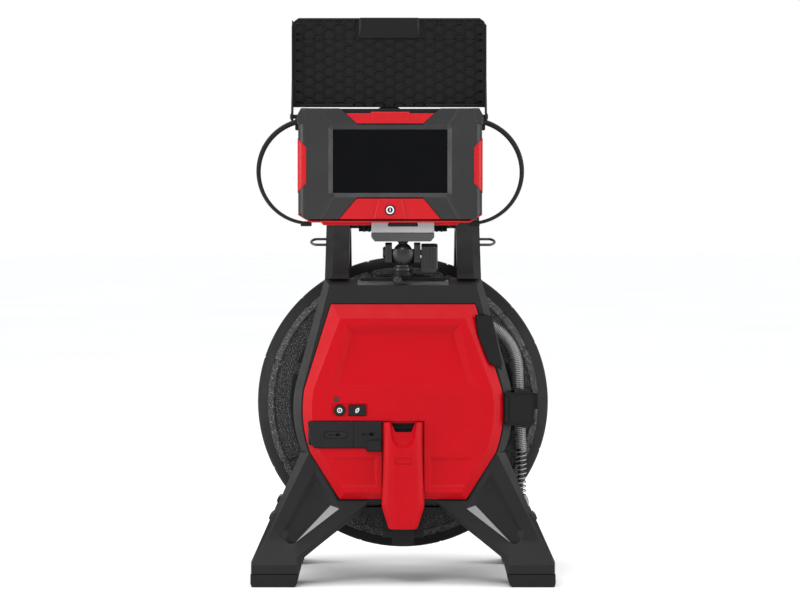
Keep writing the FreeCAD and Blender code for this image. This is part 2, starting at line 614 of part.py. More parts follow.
save("strap_rings", [strap_ring(1), strap_ring(-1)])
base = rod(13.8, (0, BALL_Y, 434.05), (0, BALL_Y, 441))
save("mount_base", rounded(base, 1.5, lambda e: e.BoundBox.ZMin > 440))
lock = rod(6.2, (-8, -152.5, 428.5), (-8, -145.2, 428.5))
save("mount_lock_screw", rounded(lock, 1, lambda e: e.BoundBox.YMax < -152))
save("mount_housing", mount_housing())
save("clamp_lever", clamp_lever())
stem = rod(6, (0, BALL_Y, BALL_Z), (0, BALL_Y, 482))
save("tilt_ball", Part.makeSphere(BALL_R, V(0, BALL_Y, BALL_Z)).fuse(stem).removeSplitter())
save("monitor_cradle", cradle())


# ---- monitor ----

def about_monitor(points):
    """(x, z) points given from the monitor's middle line, moved into place."""
    return [(MON_X + x, z) for x, z in points]


def flipped(points):
    return [(-x, z) for x, z in points]


MON_OUTLINE = about_monitor([(-MON_HALF, 520), (-MON_HALF + 18, MON_BOTTOM), (MON_HALF - 18, MON_BOTTOM),
                             (MON_HALF, 520), (MON_HALF, MON_TOP - 12), (MON_HALF - 8, MON_TOP),
                             (-MON_HALF + 8, MON_TOP), (-MON_HALF, MON_TOP - 12)])
TOP_ACCENT = about_monitor([(-60, 663), (60, 663), (43, 646.8), (-43, 646.8)])
LOW_ACCENT = about_monitor([(-46, 543.3), (46, 543.3), (68, 514.5), (-68, 514.5)])
SIDE_ACCENT = [(MON_HALF + 1, 625), (MON_HALF - 12.4, 614), (MON_HALF - 12.4, 564), (MON_HALF + 1, 546)]
SCREEN_X0, SCREEN_X1 = MON_X - SCREEN_HALF, MON_X + SCREEN_HALF
MON_BUTTON = (MON_X, 526.4, 7.0)


def monitor_block():
    """The closed outer shape of the monitor."""
    outline = face_xz(MON_OUTLINE)
    mid = extruded(outline, MON_FRONT + 9, MON_BACK - 9)
    front = bevelled(outline, 4, MON_FRONT + 9, MON_FRONT)
    back = bevelled(outline, 7, MON_BACK - 9, MON_BACK)
    return mid.fuse([front, back]).removeSplitter()


def accents(front, back):
    solids = [prism_xz(TOP_ACCENT, front, back), prism_xz(LOW_ACCENT, front, back)]
    for points in (SIDE_ACCENT, flipped(SIDE_ACCENT)):
        solids.append(prism_xz(about_monitor(points), front, MON_FRONT + 16))
    return solids


def frame_bevel():
    """The sloping inner border round the display."""
    x0, x1, z0, z1 = SCREEN_X0, SCREEN_X1, SCREEN_BOTTOM, SCREEN_TOP
    inner = [(x0, z0), (x1, z0), (x1, z1), (x0, z1), (x0, z0)]
    outer = [(x0 - 13, z0 - 6), (x1 + 13, z0 - 6), (x1 + 13, z1 + 6), (x0 - 13, z1 + 6), (x0 - 13, z0 - 6)]
    deep = Part.makePolygon([V(x, -150.5, z) for x, z in inner])
    wide = Part.makePolygon([V(x, MON_FRONT - 0.5, z) for x, z in outer])
    return Part.makeLoft([deep, wide], True, True)


block = monitor_block()
cavity = extruded(inset(face_xz(MON_OUTLINE), 9), MON_FRONT + 11, MON_BACK - 3)
x, z, r = MON_BUTTON
bezel = block.common(box(-300, 300, MON_FRONT - 1, MON_SPLIT, 400, 700)).cut(cavity).cut(frame_bevel())
bezel = bezel.cut(box(SCREEN_X0, SCREEN_X1, -152, MON_FRONT + 12, SCREEN_BOTTOM, SCREEN_TOP))
bezel = bezel.cut(Part.makeCompound(accents(MON_FRONT - 1, MON_FRONT + 2.5)))
bezel = bezel.cut(rod(r + GAP, (x, MON_FRONT, z), (x, MON_FRONT + 6, z)))
save("monitor_bezel", bezel.cut(rod(1.1, (-85, MON_FRONT - 1, 532.7), (-85, MON_FRONT + 4, 532.7))))
hook_disc = rod(28.1, (MON_X - 1.5, MON_BACK - 0.5, 646.7), (MON_X - 1.5, MON_BACK + 8, 646.7))
hook_bar = round_box(MON_X - 8.5, MON_X + 5.5, MON_BACK + 7.9, MON_BACK + 12, 600, 672, 5)
back_shell = block.common(box(-300, 300, MON_SPLIT + 0.05, MON_BACK + 1, 400, 700)).cut(cavity)
save("monitor_back", back_shell.fuse([hook_disc, hook_bar]).removeSplitter())
panel = box(SCREEN_X0 + 0.1, SCREEN_X1 - 0.1, -150.4, -144.2, SCREEN_BOTTOM + 0.1, SCREEN_TOP - 0.1)
save("display_panel", panel)
flush = [a.common(block.cut(cavity)) for a in accents(MON_FRONT - 0.5, MON_FRONT + 2.45)]
flush[1] = flush[1].cut(rod(r + GAP, (x, MON_FRONT - 2, z), (x, MON_FRONT + 6, z)))
save("monitor_trim", flush + [rail(0, -115, 79, 511.35)])
cap = rod(r, (x, MON_FRONT - 1.3, z), (x, MON_FRONT + 4.2, z))
save("monitor_power_button", rounded(cap, 0.8, lambda e: e.BoundBox.YMax < MON_FRONT - 1))


# ---- visor ----

VISOR_X = MON_X - 1.5
PLATE_Y = (-125.5, -122.5)


def visor():
    y0, y1 = PLATE_Y
    outline = [(-VISOR_HALF, 676), (-VISOR_HALF, VISOR_TOP - 34), (-VISOR_HALF + 6, VISOR_TOP - 28),
               (-VISOR_HALF + 6, VISOR_TOP - 6), (-VISOR_HALF + 12, VISOR_TOP)]
    outline = outline + [(-a, b) for a, b in reversed(outline)]
    outline += [(VISOR_HALF - 14, 670), (-VISOR_HALF + 14, 670)]
    plate = prism_xz([(VISOR_X + a, b) for a, b in outline], y0, y1)
    wing = [(-134, 762), (y0 + 1, 762), (y1, 700), (y1, 676), (-141, 650), (-155, 650), (-155, 664),
            (-134, 700)]
    for sign in (-1, 1):
        a, b = sorted((VISOR_X + sign * (VISOR_HALF - 3), VISOR_X + sign * VISOR_HALF))
        plate = plate.fuse(prism_yz(wing, a, b))
        a, b = sorted((VISOR_X + sign * 51, VISOR_X + sign * 125))
        plate = plate.fuse(box(a, b, -134, y0 + 0.5, 672, 675))
        bore = sorted((VISOR_X + sign * 120, VISOR_X + sign * 140))
        plate = plate.cut(rod(3.08, (bore[0], VISOR_Y, VISOR_Z), (bore[1], VISOR_Y, VISOR_Z)))
    tab = round_box(VISOR_X - 41, VISOR_X + 41, y0 - 1.4, y0 + 0.5, 770, 795, 3)
    return plate.fuse(tab).removeSplitter()


save("visor", visor())
pin_left = rod(3, (VISOR_X - 138.5, VISOR_Y, VISOR_Z), (MON_X - MON_HALF - 0.05, VISOR_Y, VISOR_Z))
pin_right = rod(3, (MON_X + MON_HALF + 0.05, VISOR_Y, VISOR_Z), (VISOR_X + 138.5, VISOR_Y, VISOR_Z))
save("visor_pins", [pin_left, pin_right])


# ---- hand straps ----

def hand_strap():
    """The left-hand loop: a band with its two anchors on the monitor's side."""
    edge = MON_X - MON_HALF
    arc = Part.Arc(V(edge - 3, 0, 648), V(-203.5, 0, 588), V(edge + 11, 0, 508.6)).toShape()
    path = arc.discretize(33)
    centre = arc.Curve.Center
    outer = [(p.x + d.x, p.z + d.z) for p, d in [(p, (p - centre).normalize() * 1.5) for p in path]]
    inner = [(p.x - d.x, p.z - d.z) for p, d in [(p, (p - centre).normalize() * 1.5) for p in path]]
    band = prism_xz(outer + inner[::-1], -131, -110)
    top = round_box(edge - 6, edge - 0.05, -133, -112, 638, 656, 2, 0)
    low = box(edge + 4, edge + 18, -133, -112, 503, 511.3)
    return band.fuse([top, low]).removeSplitter().cut(block)


left_strap = hand_strap()
right_strap = left_strap.mirror(V(MON_X, 0, 0), V(1, 0, 0))
save("hand_straps", [left_strap, right_strap])
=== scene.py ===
import math

import bmesh
import bpy
from mathutils import Matrix, Vector


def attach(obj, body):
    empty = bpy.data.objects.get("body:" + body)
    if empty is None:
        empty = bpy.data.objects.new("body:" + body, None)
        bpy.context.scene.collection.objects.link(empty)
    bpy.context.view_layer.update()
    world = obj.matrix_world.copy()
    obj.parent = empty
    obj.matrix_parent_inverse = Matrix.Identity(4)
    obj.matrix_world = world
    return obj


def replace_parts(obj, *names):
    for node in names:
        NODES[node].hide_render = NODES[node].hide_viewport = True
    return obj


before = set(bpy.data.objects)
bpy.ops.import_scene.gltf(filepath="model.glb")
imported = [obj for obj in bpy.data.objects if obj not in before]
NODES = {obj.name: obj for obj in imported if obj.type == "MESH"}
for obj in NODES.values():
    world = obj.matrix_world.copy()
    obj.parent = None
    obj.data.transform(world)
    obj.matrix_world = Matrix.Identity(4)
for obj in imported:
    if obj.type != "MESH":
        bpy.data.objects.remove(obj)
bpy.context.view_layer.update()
MM = 0.001

# ---- camera, floor and light ----

scene = bpy.context.scene
scene.view_settings.view_transform = "Standard"
scene.view_settings.look = "None"

cam_data = bpy.data.cameras.new("camera")
cam_data.sensor_width = 36
cam_data.lens = 129.5
cam = bpy.data.objects.new("camera", cam_data)
scene.collection.objects.link(cam)
aim = Vector((-0.0042, -0.15, 0.4005))
cam.location = aim + Vector((0, -4.03, 0.095))
cam.rotation_euler = (aim - cam.location).to_track_quat("-Z", "Y").to_euler()
scene.camera = cam


def node_material(name):
    mat = bpy.data.materials.new(name)
    mat.use_nodes = True
    tree = mat.node_tree
    tree.nodes.clear()
    out = tree.nodes.new("ShaderNodeOutputMaterial")
    shader = tree.nodes.new("ShaderNodeBsdfPrincipled")
    tree.links.new(shader.outputs[0], out.inputs[0])
    coords = tree.nodes.new("ShaderNodeTexCoord")
    return mat, tree, shader, coords.outputs["Object"]


def noise(tree, where, per_metre, detail=3.0, rough=0.55, stretch=None):
    """A noise value whose lumps are about one over per_metre wide."""
    if stretch:
        bend = tree.nodes.new("ShaderNodeMapping")
        bend.inputs["Scale"].default_value = stretch
        tree.links.new(where, bend.inputs["Vector"])
        where = bend.outputs[0]
    n = tree.nodes.new("ShaderNodeTexNoise")
    n.inputs["Scale"].default_value = per_metre
    n.inputs["Detail"].default_value = detail
    n.inputs["Roughness"].default_value = rough
    tree.links.new(where, n.inputs["Vector"])
    return n.outputs["Fac"]


def ramp(tree, value, stops):
    """Colour or value by position. stops is [(position, colour or number), ...]."""
    r = tree.nodes.new("ShaderNodeValToRGB")
    e = r.color_ramp.elements
    while len(e) < len(stops):
        e.new(0.5)
    for slot, (at, col) in zip(e, stops):
        slot.position = at
        slot.color = (col, col, col, 1) if isinstance(col, (int, float)) else (*col, 1)
    tree.links.new(value, r.inputs[0])
    return r.outputs[0]


def bump(tree, shader, heights):
    """Chains bumps. heights is [(value, strength, distance), ...]."""
    last = None
    for value, strength, distance in heights:
        b = tree.nodes.new("ShaderNodeBump")
        b.inputs["Strength"].default_value = strength
        b.inputs["Distance"].default_value = distance
        tree.links.new(value, b.inputs["Height"])
        if last:
            tree.links.new(last, b.inputs["Normal"])
        last = b.outputs[0]
    tree.links.new(last, shader.inputs["Normal"])


def shade(colour, factor):
    return tuple(c * factor for c in colour)


def plastic(name, colour, rough=0.45, grain=2600, depth=0.00002, vary=0.12, spec=0.35, dust=0.0):
    """Moulded plastic: fine grain, slow changes of tone, and a little dust or haze where asked."""
    mat, tree, shader, at = node_material(name)
    slow = noise(tree, at, 14, 3)
    fine = noise(tree, at, grain, 2)
    tone = ramp(tree, slow, [(0.3, shade(colour, 1 - vary)), (0.7, shade(colour, 1 + vary))])
    if dust:
        mix = tree.nodes.new("ShaderNodeMix")
        mix.data_type = "RGBA"
        specks = ramp(tree, noise(tree, at, grain * 0.45, 4, 0.7), [(0.56, 0.0), (0.74, dust)])
        tree.links.new(specks, mix.inputs["Factor"])
        tree.links.new(tone, mix.inputs["A"])
        mix.inputs["B"].default_value = (*[min(1.0, c + 0.09) for c in colour], 1)
        tone = mix.outputs["Result"]
    tree.links.new(tone, shader.inputs["Base Color"])
    haze = ramp(tree, noise(tree, at, 40, 4), [(0.3, rough - 0.06), (0.7, rough + 0.07)])
    tree.links.new(haze, shader.inputs["Roughness"])
    shader.inputs["Specular IOR Level"].default_value = spec
    bump(tree, shader, [(fine, 0.5, depth), (noise(tree, at, 55, 2), 0.15, 0.0001)])
    return mat


def speckled(name, colour, light, grain, depth, rough=0.6):
    """Coarse textured plastic, like a case's pebbled shell, with painted highlights on the tips of the grain.
    """
    mat, tree, shader, at = node_material(name)
    lumps = tree.nodes.new("ShaderNodeTexVoronoi")
    lumps.inputs["Scale"].default_value = grain
    tree.links.new(at, lumps.inputs["Vector"])
    fine = noise(tree, at, grain * 1.6, 5, 0.75)
    # the light colour on the grain's tips is a painted highlight: glints painted into the base colour, not a
    # colour of the plastic
    painted_tip_glints = ramp(tree, fine, [(0.47, colour), (0.55, shade(colour, 1.6)), (0.64, light)])
    tree.links.new(painted_tip_glints, shader.inputs["Base Color"])
    tree.links.new(ramp(tree, fine, [(0.3, rough + 0.1), (0.7, rough - 0.12)]), shader.inputs["Roughness"])
    shader.inputs["Specular IOR Level"].default_value = 0.4
    bump(tree, shader, [(lumps.outputs["Distance"], 0.5, depth), (fine, 0.7, depth)])
    return mat


def metal(name, colour, rough=0.3, lines=None, spots=0.05, metallic=1.0):
    mat, tree, shader, at = node_material(name)
    shader.inputs["Metallic"].default_value = metallic
    slow = noise(tree, at, 60, 4)
    tree.links.new(ramp(tree, slow, [(0.3, shade(colour, 1 - spots)), (0.7, shade(colour, 1 + spots))]),
                   shader.inputs["Base Color"])
    scratch = noise(tree, at, 900, 3, 0.6, stretch=lines or (1, 1, 1))
    tree.links.new(ramp(tree, scratch, [(0.3, rough - 0.08), (0.7, rough + 0.12)]),
                   shader.inputs["Roughness"])
    bump(tree, shader, [(scratch, 0.25, 0.00003)])
    return mat


RED = plastic("red_shell", (0.415, 0.0008, 0.0055), 0.42, 1900, 0.000012, vary=0.04, spec=0.11)
RED_TRIM = plastic("red_trim", (0.43, 0.0045, 0.009), 0.34, 2400, 0.00001, vary=0.04, spec=0.22)
BLACK = plastic("black_shell", (0.0058, 0.0058, 0.0061), 0.47, 2300, 0.00003, spec=0.17, dust=0.05)
DARK = plastic("black_inner", (0.008, 0.008, 0.0085), 0.55, vary=0.1, spec=0.25)
BEZEL = plastic("bezel_shell", (0.018, 0.018, 0.0186), 0.42, 3000, spec=0.30, dust=0.07)
SOFT = plastic("soft_rubber", (0.008, 0.008, 0.0083), 0.62, 3400, 0.00003, spec=0.20, dust=0.05)
PEBBLE = speckled("drum_pebble", (0.0042, 0.0042, 0.0044), (0.30, 0.30, 0.305), 430, 0.0010, rough=0.66)
# a lighter copy of the pebbled skin: painted light from above, used on the drum bands in the upper half
TOP_LIT_SKIN = speckled("drum_skin_painted_top_light", (0.011, 0.011, 0.0113), (0.30, 0.30, 0.305), 430, 0.0010)
GREY = plastic("grey_casting", (0.30, 0.30, 0.31), 0.42, 2200, 0.00003, spec=0.5)
STEEL = metal("spring_steel", (0.30, 0.295, 0.29), rough=0.32, metallic=0.62)
WIRE = metal("ring_steel", (0.085, 0.085, 0.088), rough=0.42)
GROUND = metal("ground_steel", (0.55, 0.55, 0.56), rough=0.22, lines=(1, 40, 1))
CAST = metal("cast_alloy", (0.30, 0.30, 0.31), rough=0.42)
SILVER = plastic("pale_inlay", (0.20, 0.20, 0.205), 0.35, 1500, spec=0.5)
FRAME = plastic("frame_plastic", (0.0078, 0.0078, 0.0082), 0.44, 2300, 0.00003, spec=0.24, dust=0.06)
GUARD = plastic("guard_plastic", (0.016, 0.016, 0.0165), 0.5, 2300, 0.00003, spec=0.3)
FLAP = plastic("flap_rubber", (0.0095, 0.0088, 0.0098), 0.55, 3000, spec=0.18, dust=0.03)
SYMBOL = plastic("black_symbol", (0.0008, 0.0008, 0.0009), 0.5, spec=0.05)
PRINT = plastic("white_print", (0.72, 0.72, 0.72), 0.5, vary=0.03)
LED_OFF = plastic("light_lens", (0.03, 0.006, 0.006), 0.15, spec=0.6)
SMOOTH = plastic("drum_smooth", (0.0044, 0.0044, 0.0046), 0.52, 1900, 0.00004, spec=0.18)
MOUNT = plastic("mount_plastic", (0.007, 0.007, 0.0074), 0.34, depth=0.00001, spec=0.42)
BALL = plastic("ball_plastic", (0.016, 0.016, 0.0165), 0.24, depth=0.000006, spec=0.5)
CRADLE = plastic("cradle_plastic", (0.046, 0.046, 0.047), 0.42, 2400, spec=0.4, dust=0.05)
CABLE = plastic("cable_jacket", (0.014, 0.014, 0.015), 0.38, 4000)
BOARD = plastic("solder_mask", (0.01, 0.07, 0.03), 0.4)
SCREEN = plastic("display_glass", (0.0016, 0.0018, 0.0026), 0.12, 60, 0.0000004, vary=0.15, spec=0.07)


def lens_glass(name):
    mat, tree, shader, at = node_material(name)
    shader.inputs["Transmission Weight"].default_value = 0.9
    shader.inputs["Base Color"].default_value = (0.85, 0.9, 0.92, 1)
    tree.links.new(ramp(tree, noise(tree, at, 300, 4), [(0.3, 0.03), (0.7, 0.08)]),
                   shader.inputs["Roughness"])
    bump(tree, shader, [(noise(tree, at, 900, 2), 0.05, 0.00001)])
    return mat


WINDOW = lens_glass("sapphire_window")


def to_object(bm, name):
    """Ends a bmesh as a new object in the scene."""
    mesh = bpy.data.meshes.new(name)
    bm.to_mesh(mesh)
    bm.free()
    obj = bpy.data.objects.new(name, mesh)
    scene.collection.objects.link(obj)
    return obj


def floor_material():
    mat, tree, shader, at = node_material("studio_floor")
    tree.links.new(ramp(tree, noise(tree, at, 0.6, 2), [(0.3, (0.92, 0.92, 0.925)),
                                                        (0.7, (0.94, 0.94, 0.945))]),
                   shader.inputs["Base Color"])
    shader.inputs["Roughness"].default_value = 0.75
    shader.inputs["Specular IOR Level"].default_value = 0.15
    bump(tree, shader, [(noise(tree, at, 400, 2), 0.05, 0.0002)])
    return mat


floor_bm = bmesh.new()
bmesh.ops.create_circle(floor_bm, cap_ends=True, segments=96, radius=60)
floor = to_object(floor_bm, "floor")
floor.data.materials.append(floor_material())

world = bpy.data.worlds.new("studio")
world.use_nodes = True
sky = world.node_tree
direction = sky.nodes.new("ShaderNodeTexCoord").outputs["Generated"]
split_sky = sky.nodes.new("ShaderNodeSeparateXYZ")
sky.links.new(direction, split_sky.inputs[0])
sky.links.new(ramp(sky, split_sky.outputs["Z"], [(0.0, (1.0, 1.0, 1.0)), (0.12, (1.0, 1.0, 1.0)),
                                                 (0.32, (0.62, 0.625, 0.635))]),
              sky.nodes["Background"].inputs["Color"])
sky.nodes["Background"].inputs["Strength"].default_value = 1.0
scene.world = world


def area_light(name, place, target, size, power):
    data = bpy.data.lights.new(name, "AREA")
    data.shape = "RECTANGLE"
    data.size, data.size_y = size
    data.energy = power
    lamp = bpy.data.objects.new(name, data)
    lamp.location = place
    lamp.rotation_euler = (Vector(target) - Vector(place)).to_track_quat("-Z", "Y").to_euler()
    scene.collection.objects.link(lamp)


area_light("left_softbox", (-2.2, -0.75, 0.75), (0, -0.1, 0.38), (1.1, 1.9), 30)
area_light("right_softbox", (2.2, -0.75, 0.75), (0, -0.1, 0.38), (1.1, 1.9), 24)
area_light("top_softbox", (-0.5, -2.0, 2.6), (0, -0.05, 0.4), (1.2, 0.8), 24)
area_light("back_softbox", (0.0, 2.6, 2.1), (0, 0, 0.4), (2.2, 1.0), 14)
sun = bpy.data.lights.new("overhead", "SUN")
sun.energy = 1.4
sun.angle = math.radians(70)
sun_lamp = bpy.data.objects.new("overhead", sun)
sun_lamp.rotation_euler = (math.radians(8), 0, 0)
scene.collection.objects.link(sun_lamp)

# ---- shape helpers: sizes in millimetres, front views as (x, z) ----

def round_edges(obj, width, steps=2, angle=28):
    """Rounds the edges that are sharper than angle degrees, width in mm."""
    b = obj.modifiers.new("round", "BEVEL")
    b.width = width * MM
    b.segments = steps
    b.limit_method = "ANGLE"
    b.angle_limit = math.radians(angle)
    w = obj.modifiers.new("weighted", "WEIGHTED_NORMAL")
    w.keep_sharp = False


def finish_mesh(bm, name, mat, body, edge=0.0, steps=2, angle=25):
    """Turns a bmesh into a piece that rides on a body, with its sharp edges rounded. mat may be several."""
    bmesh.ops.remove_doubles(bm, verts=bm.verts, dist=1e-6)
    bmesh.ops.recalc_face_normals(bm, faces=bm.faces)
    for f in bm.faces:
        f.smooth = True
    obj = to_object(bm, name)
    mats = mat if isinstance(mat, tuple) else (mat,)
    for m in mats:
        obj.data.materials.append(m)
    if edge:
        round_edges(obj, edge, steps, angle)
    else:
        obj.data.set_sharp_from_angle(angle=math.radians(angle))
    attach(obj, body)
    return obj


def point(x, y, z):
    return Vector((x * MM, y * MM, z * MM))


def inset_loop(loop, amount):
    """Moves a closed outline inwards, corners kept sharp. Works for either direction."""
    area = sum(a[0] * b[1] - b[0] * a[1] for a, b in zip(loop, loop[1:] + loop[:1]))
    side = 1 if area > 0 else -1
    n = len(loop)
    out = []
    for i in range(n):
        p, q, r = (Vector(loop[i - 1]), Vector(loop[i]), Vector(loop[(i + 1) % n]))
        d0, d1 = (q - p).normalized(), (r - q).normalized()
        n0, n1 = Vector((-d0.y, d0.x)) * side, Vector((-d1.y, d1.x)) * side
        mid = n0 + n1
        if mid.length < 1e-6:
            out.append(tuple(q + n0 * amount))
            continue
        mid.normalize()
        out.append(tuple(q + mid * (amount / max(0.2, mid.dot(n0)))))
    return out


def skin(bm, rings, mat=0, caps=True, wrap=False, closed=True):
    """Joins rings of vertices into a surface.

    wrap joins the last ring to the first; closed=False leaves the rings themselves open.
    """
    n = len(rings[0])
    made = []
    for a, b in list(zip(rings, rings[1:])) + ([(rings[-1], rings[0])] if wrap else []):
        for i in range(n if closed else n - 1):
            made.append(bm.faces.new((a[i], a[(i + 1) % n], b[(i + 1) % n], b[i])))
    if caps and not wrap:
        made.append(bm.faces.new(rings[0]))
        made.append(bm.faces.new(rings[-1][::-1]))
    for f in made:
        f.material_index = mat


def add_stack(bm, layers, mat=0):
    """Joins outlines of equal length at given depths. layers is [(loop of (x, z), y), ...]."""
    skin(bm, [[bm.verts.new(point(x, y, z)) for x, z in loop] for loop, y in layers], mat)


def add_side_stack(bm, layers):
    """The same for outlines seen from the side. layers is [(loop of (y, z), x), ...]."""
    skin(bm, [[bm.verts.new(point(x, y, z)) for y, z in loop] for loop, x in layers])


def add_turned(bm, profile, cx, cy, n=48):
    """Turns (radius, z) points about an upright axis."""
    rings = []
    for i in range(n):
        a = 2 * math.pi * i / n
        rings.append([bm.verts.new(point(cx + r * math.cos(a), cy + r * math.sin(a), z)) for r, z in profile])
    skin(bm, rings, wrap=True, closed=False)


def raised(loop, back, front, inset, lip):
    """Layers of a block: straight from back to front, then drawn in by inset up to lip."""
    return [(loop, back), (loop, front), (inset_loop(loop, inset), lip)]


def stack(name, layers, mat, body, edge=0.5, steps=2, angle=25):
    bm = bmesh.new()
    add_stack(bm, layers)
    return finish_mesh(bm, name, mat, body, edge, steps, angle)


def rounded_loop(loop, radius, steps=4):
    """Rounds every corner of a closed outline. radius may be a number or one per corner."""
    n = len(loop)
    out = []
    for i in range(n):
        r = radius[i] if isinstance(radius, (list, tuple)) else radius
        p, q, s = Vector(loop[i - 1]), Vector(loop[i]), Vector(loop[(i + 1) % n])
        a, b = (p - q), (s - q)
        if r <= 0 or a.angle(b) > 3.10:
            out.append(tuple(q))
            continue
        half = a.angle(b) / 2
        reach = min(r / math.tan(half), a.length * 0.49, b.length * 0.49)
        r = reach * math.tan(half)
        start, end = q + a.normalized() * reach, q + b.normalized() * reach
        centre = q + (a.normalized() + b.normalized()).normalized() * (r / math.sin(half))
        u, v = start - centre, end - centre
        turn = u.angle_signed(v) if u.length > 1e-9 else 0
        for k in range(steps + 1):
            t = -turn * k / steps
            c, d = math.cos(t), math.sin(t)
            out.append((centre.x + u.x * c - u.y * d, centre.y + u.x * d + u.y * c))
    return out


def through(p, q, r, n, anticlockwise=False):
    """Points on the circle through three points, from p to r."""
    (ax, az), (bx, bz), (cx, cz) = p, q, r
    d = 2 * (ax * (bz - cz) + bx * (cz - az) + cx * (az - bz))
    s, t, u = ax * ax + az * az, bx * bx + bz * bz, cx * cx + cz * cz
    ox = (s * (bz - cz) + t * (cz - az) + u * (az - bz)) / d
    oz = (s * (cx - bx) + t * (ax - cx) + u * (bx - ax)) / d
    rad = math.hypot(ax - ox, az - oz)
    a0, a1 = math.atan2(az - oz, ax - ox), math.atan2(cz - oz, cx - ox)
    if anticlockwise and a1 < a0:
        a1 += 2 * math.pi
    angles = [a0 + (a1 - a0) * i / n for i in range(n + 1)]
    return [(ox + rad * math.cos(a), oz + rad * math.sin(a)) for a in angles]


def rect(x0, x1, z0, z1):
    return [(x0, z0), (x1, z0), (x1, z1), (x0, z1)]


def circle(cx, cz, r, n=32):
    return [(cx + r * math.cos(2 * math.pi * i / n),
             cz + r * math.sin(2 * math.pi * i / n)) for i in range(n)]


def add_box(bm, x0, x1, y0, y1, z0, z1, mat=0):
    add_stack(bm, [(rect(x0, x1, z0, z1), y0), (rect(x0, x1, z0, z1), y1)], mat=mat)


def add_rod(bm, p, q, radii, n=32):
    """A round bar from p to q in mm. radii is [(fraction, radius), ...] along it."""
    a, b = Vector(p) * MM, Vector(q) * MM
    axis = (b - a).normalized()
    side = axis.orthogonal().normalized()
    other = axis.cross(side)
    rings = []
    for t, r in radii:
        c = a.lerp(b, t)
        rings.append([bm.verts.new(c + (side * math.cos(k) + other * math.sin(k)) * r * MM)
                      for k in [2 * math.pi * i / n for i in range(n)]])
    skin(bm, rings)


def solid_knife(obj, cutters):
    """Subtracts closed meshes from obj and keeps the result as its mesh."""
    for i, c in enumerate(cutters):
        m = obj.modifiers.new("cut%d" % i, "BOOLEAN")
        m.operation = "DIFFERENCE"
        m.solver = "EXACT"
        m.object = c
    kept = [m for m in obj.modifiers if m.type != "BOOLEAN"]
    state = [(m, m.show_viewport) for m in kept]
    for m in kept:
        m.show_viewport = False
    dg = bpy.context.evaluated_depsgraph_get()
    dg.update()
    new = bpy.data.meshes.new_from_object(obj.evaluated_get(dg))
    for m in [m for m in obj.modifiers if m.type == "BOOLEAN"]:
        obj.modifiers.remove(m)
    for m, shown in state:
        m.show_viewport = shown
    obj.data = new
    for c in cutters:
        bpy.data.objects.remove(c)


def as_cutter(bm):
    bmesh.ops.recalc_face_normals(bm, faces=bm.faces)
    return to_object(bm, "cutter")


def cutter(*layers):
    """A closed mesh to subtract, from layers of (loop, y)."""
    bm = bmesh.new()
    add_stack(bm, layers)
    return as_cutter(bm)


def through_cut(loop, y0, y1):
    """A straight cutter with one outline."""
    return cutter((loop, y0), (loop, y1))


# ---- monitor ----

MX = -18.0                  # middle of the monitor
MON_FRONT, MON_LOW_FACE = -156.0, -153.4


def mirror_x(points):
    return {k + "_r": (-x, z, y) for k, (x, z, y) in points.items()}


def monitor_bezel():
    f, g = MON_FRONT, MON_LOW_FACE
    p = {
        "w_t": (-80, 639, -151.0), "w_b": (-80, 550.5, -151.0),
        "a": (-86.5, 641.2, f), "a2": (-83.8, 645.5, f), "d1": (-98.6, 668.6, f),
        "b": (-86.5, 548.6, f), "b2": (-82.4, 543.6, f), "d3": (-99.4, 513.4, f),
        "t": (-79.4, 646.0, g), "d2": (-94.0, 668.6, g), "e1": (-70.6, 668.6, g), "e2": (-62.4, 662.0, g),
        "e3": (-46.6, 647.2, g), "e4": (-46.0, 646.0, g),
        "l": (-77.4, 543.8, g), "d4": (-94.4, 513.4, g), "h1": (-71.6, 513.4, g), "h2": (-47.2, 542.6, g),
        "h3": (-46.0, 543.8, g),
    }
    arc = [(-117.0, f), (-121.6, f + 0.9), (-125.5, f + 3.5), (-128.1, f + 7.4), (-129.0, f + 12.0)]
    for i, (x, y) in enumerate(arc):
        p["s%dt" % i] = (x, 656.0 + (12.6 if i == 0 else (9.5, 5.6, 2.2, 0)[i - 1]), y)
        p["s%db" % i] = (x, 522.0 - (8.6 if i == 0 else (7.0, 4.4, 1.6, 0)[i - 1]), y)
    faces = [
        ("w_t", "w_b", "b", "a"), ("w_t", "a", "a2", "t"), ("w_b", "l", "b2", "b"),
        ("a2", "d1", "d2", "t"), ("b2", "l", "d4", "d3"),
        ("a", "b", "b2", "d3", "s0b", "s0t", "d1", "a2"),
        ("t", "d2", "e1", "e2", "e3", "e4"), ("l", "h3", "h2", "h1", "d4"),
    ]
    for i in range(4):
        faces.append(("s%dt" % i, "s%db" % i, "s%db" % (i + 1), "s%dt" % (i + 1)))
    both = dict(p)
    both.update(mirror_x(p))
    bm = bmesh.new()
    v = {k: bm.verts.new(point(MX + x, y, z)) for k, (x, z, y) in both.items()}
    for face in faces:
        bm.faces.new([v[k] for k in face])
        bm.faces.new([v[k + "_r"] for k in reversed(face)])
    bm.faces.new([v[k] for k in ("w_t", "t", "e4", "e4_r", "t_r", "w_t_r")])
    bm.faces.new([v[k] for k in ("w_b", "w_b_r", "l_r", "h3_r", "h3", "l")])
    # sides: every open outer edge goes back to the joint line, the window's edges to the glass
    bmesh.ops.recalc_face_normals(bm, faces=bm.faces)
    open_edges = [e for e in bm.edges if len(e.link_faces) == 1]
    grown = bmesh.ops.extrude_edge_only(bm, edges=open_edges)
    for el in grown["geom"]:
        if isinstance(el, bmesh.types.BMVert):
            inner = abs(el.co.x / MM - MX) < 80.5 and 550 < el.co.z / MM < 639.5
            el.co.y = (-148.5 if inner else -132.0) * MM
    return finish_mesh(bm, "monitor_bezel_shell", BEZEL, "monitor", edge=0.55, steps=2, angle=9)


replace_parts(monitor_bezel(), "monitor_bezel")


def about(loop, cx=MX):
    return [(cx + x, z) for x, z in loop]


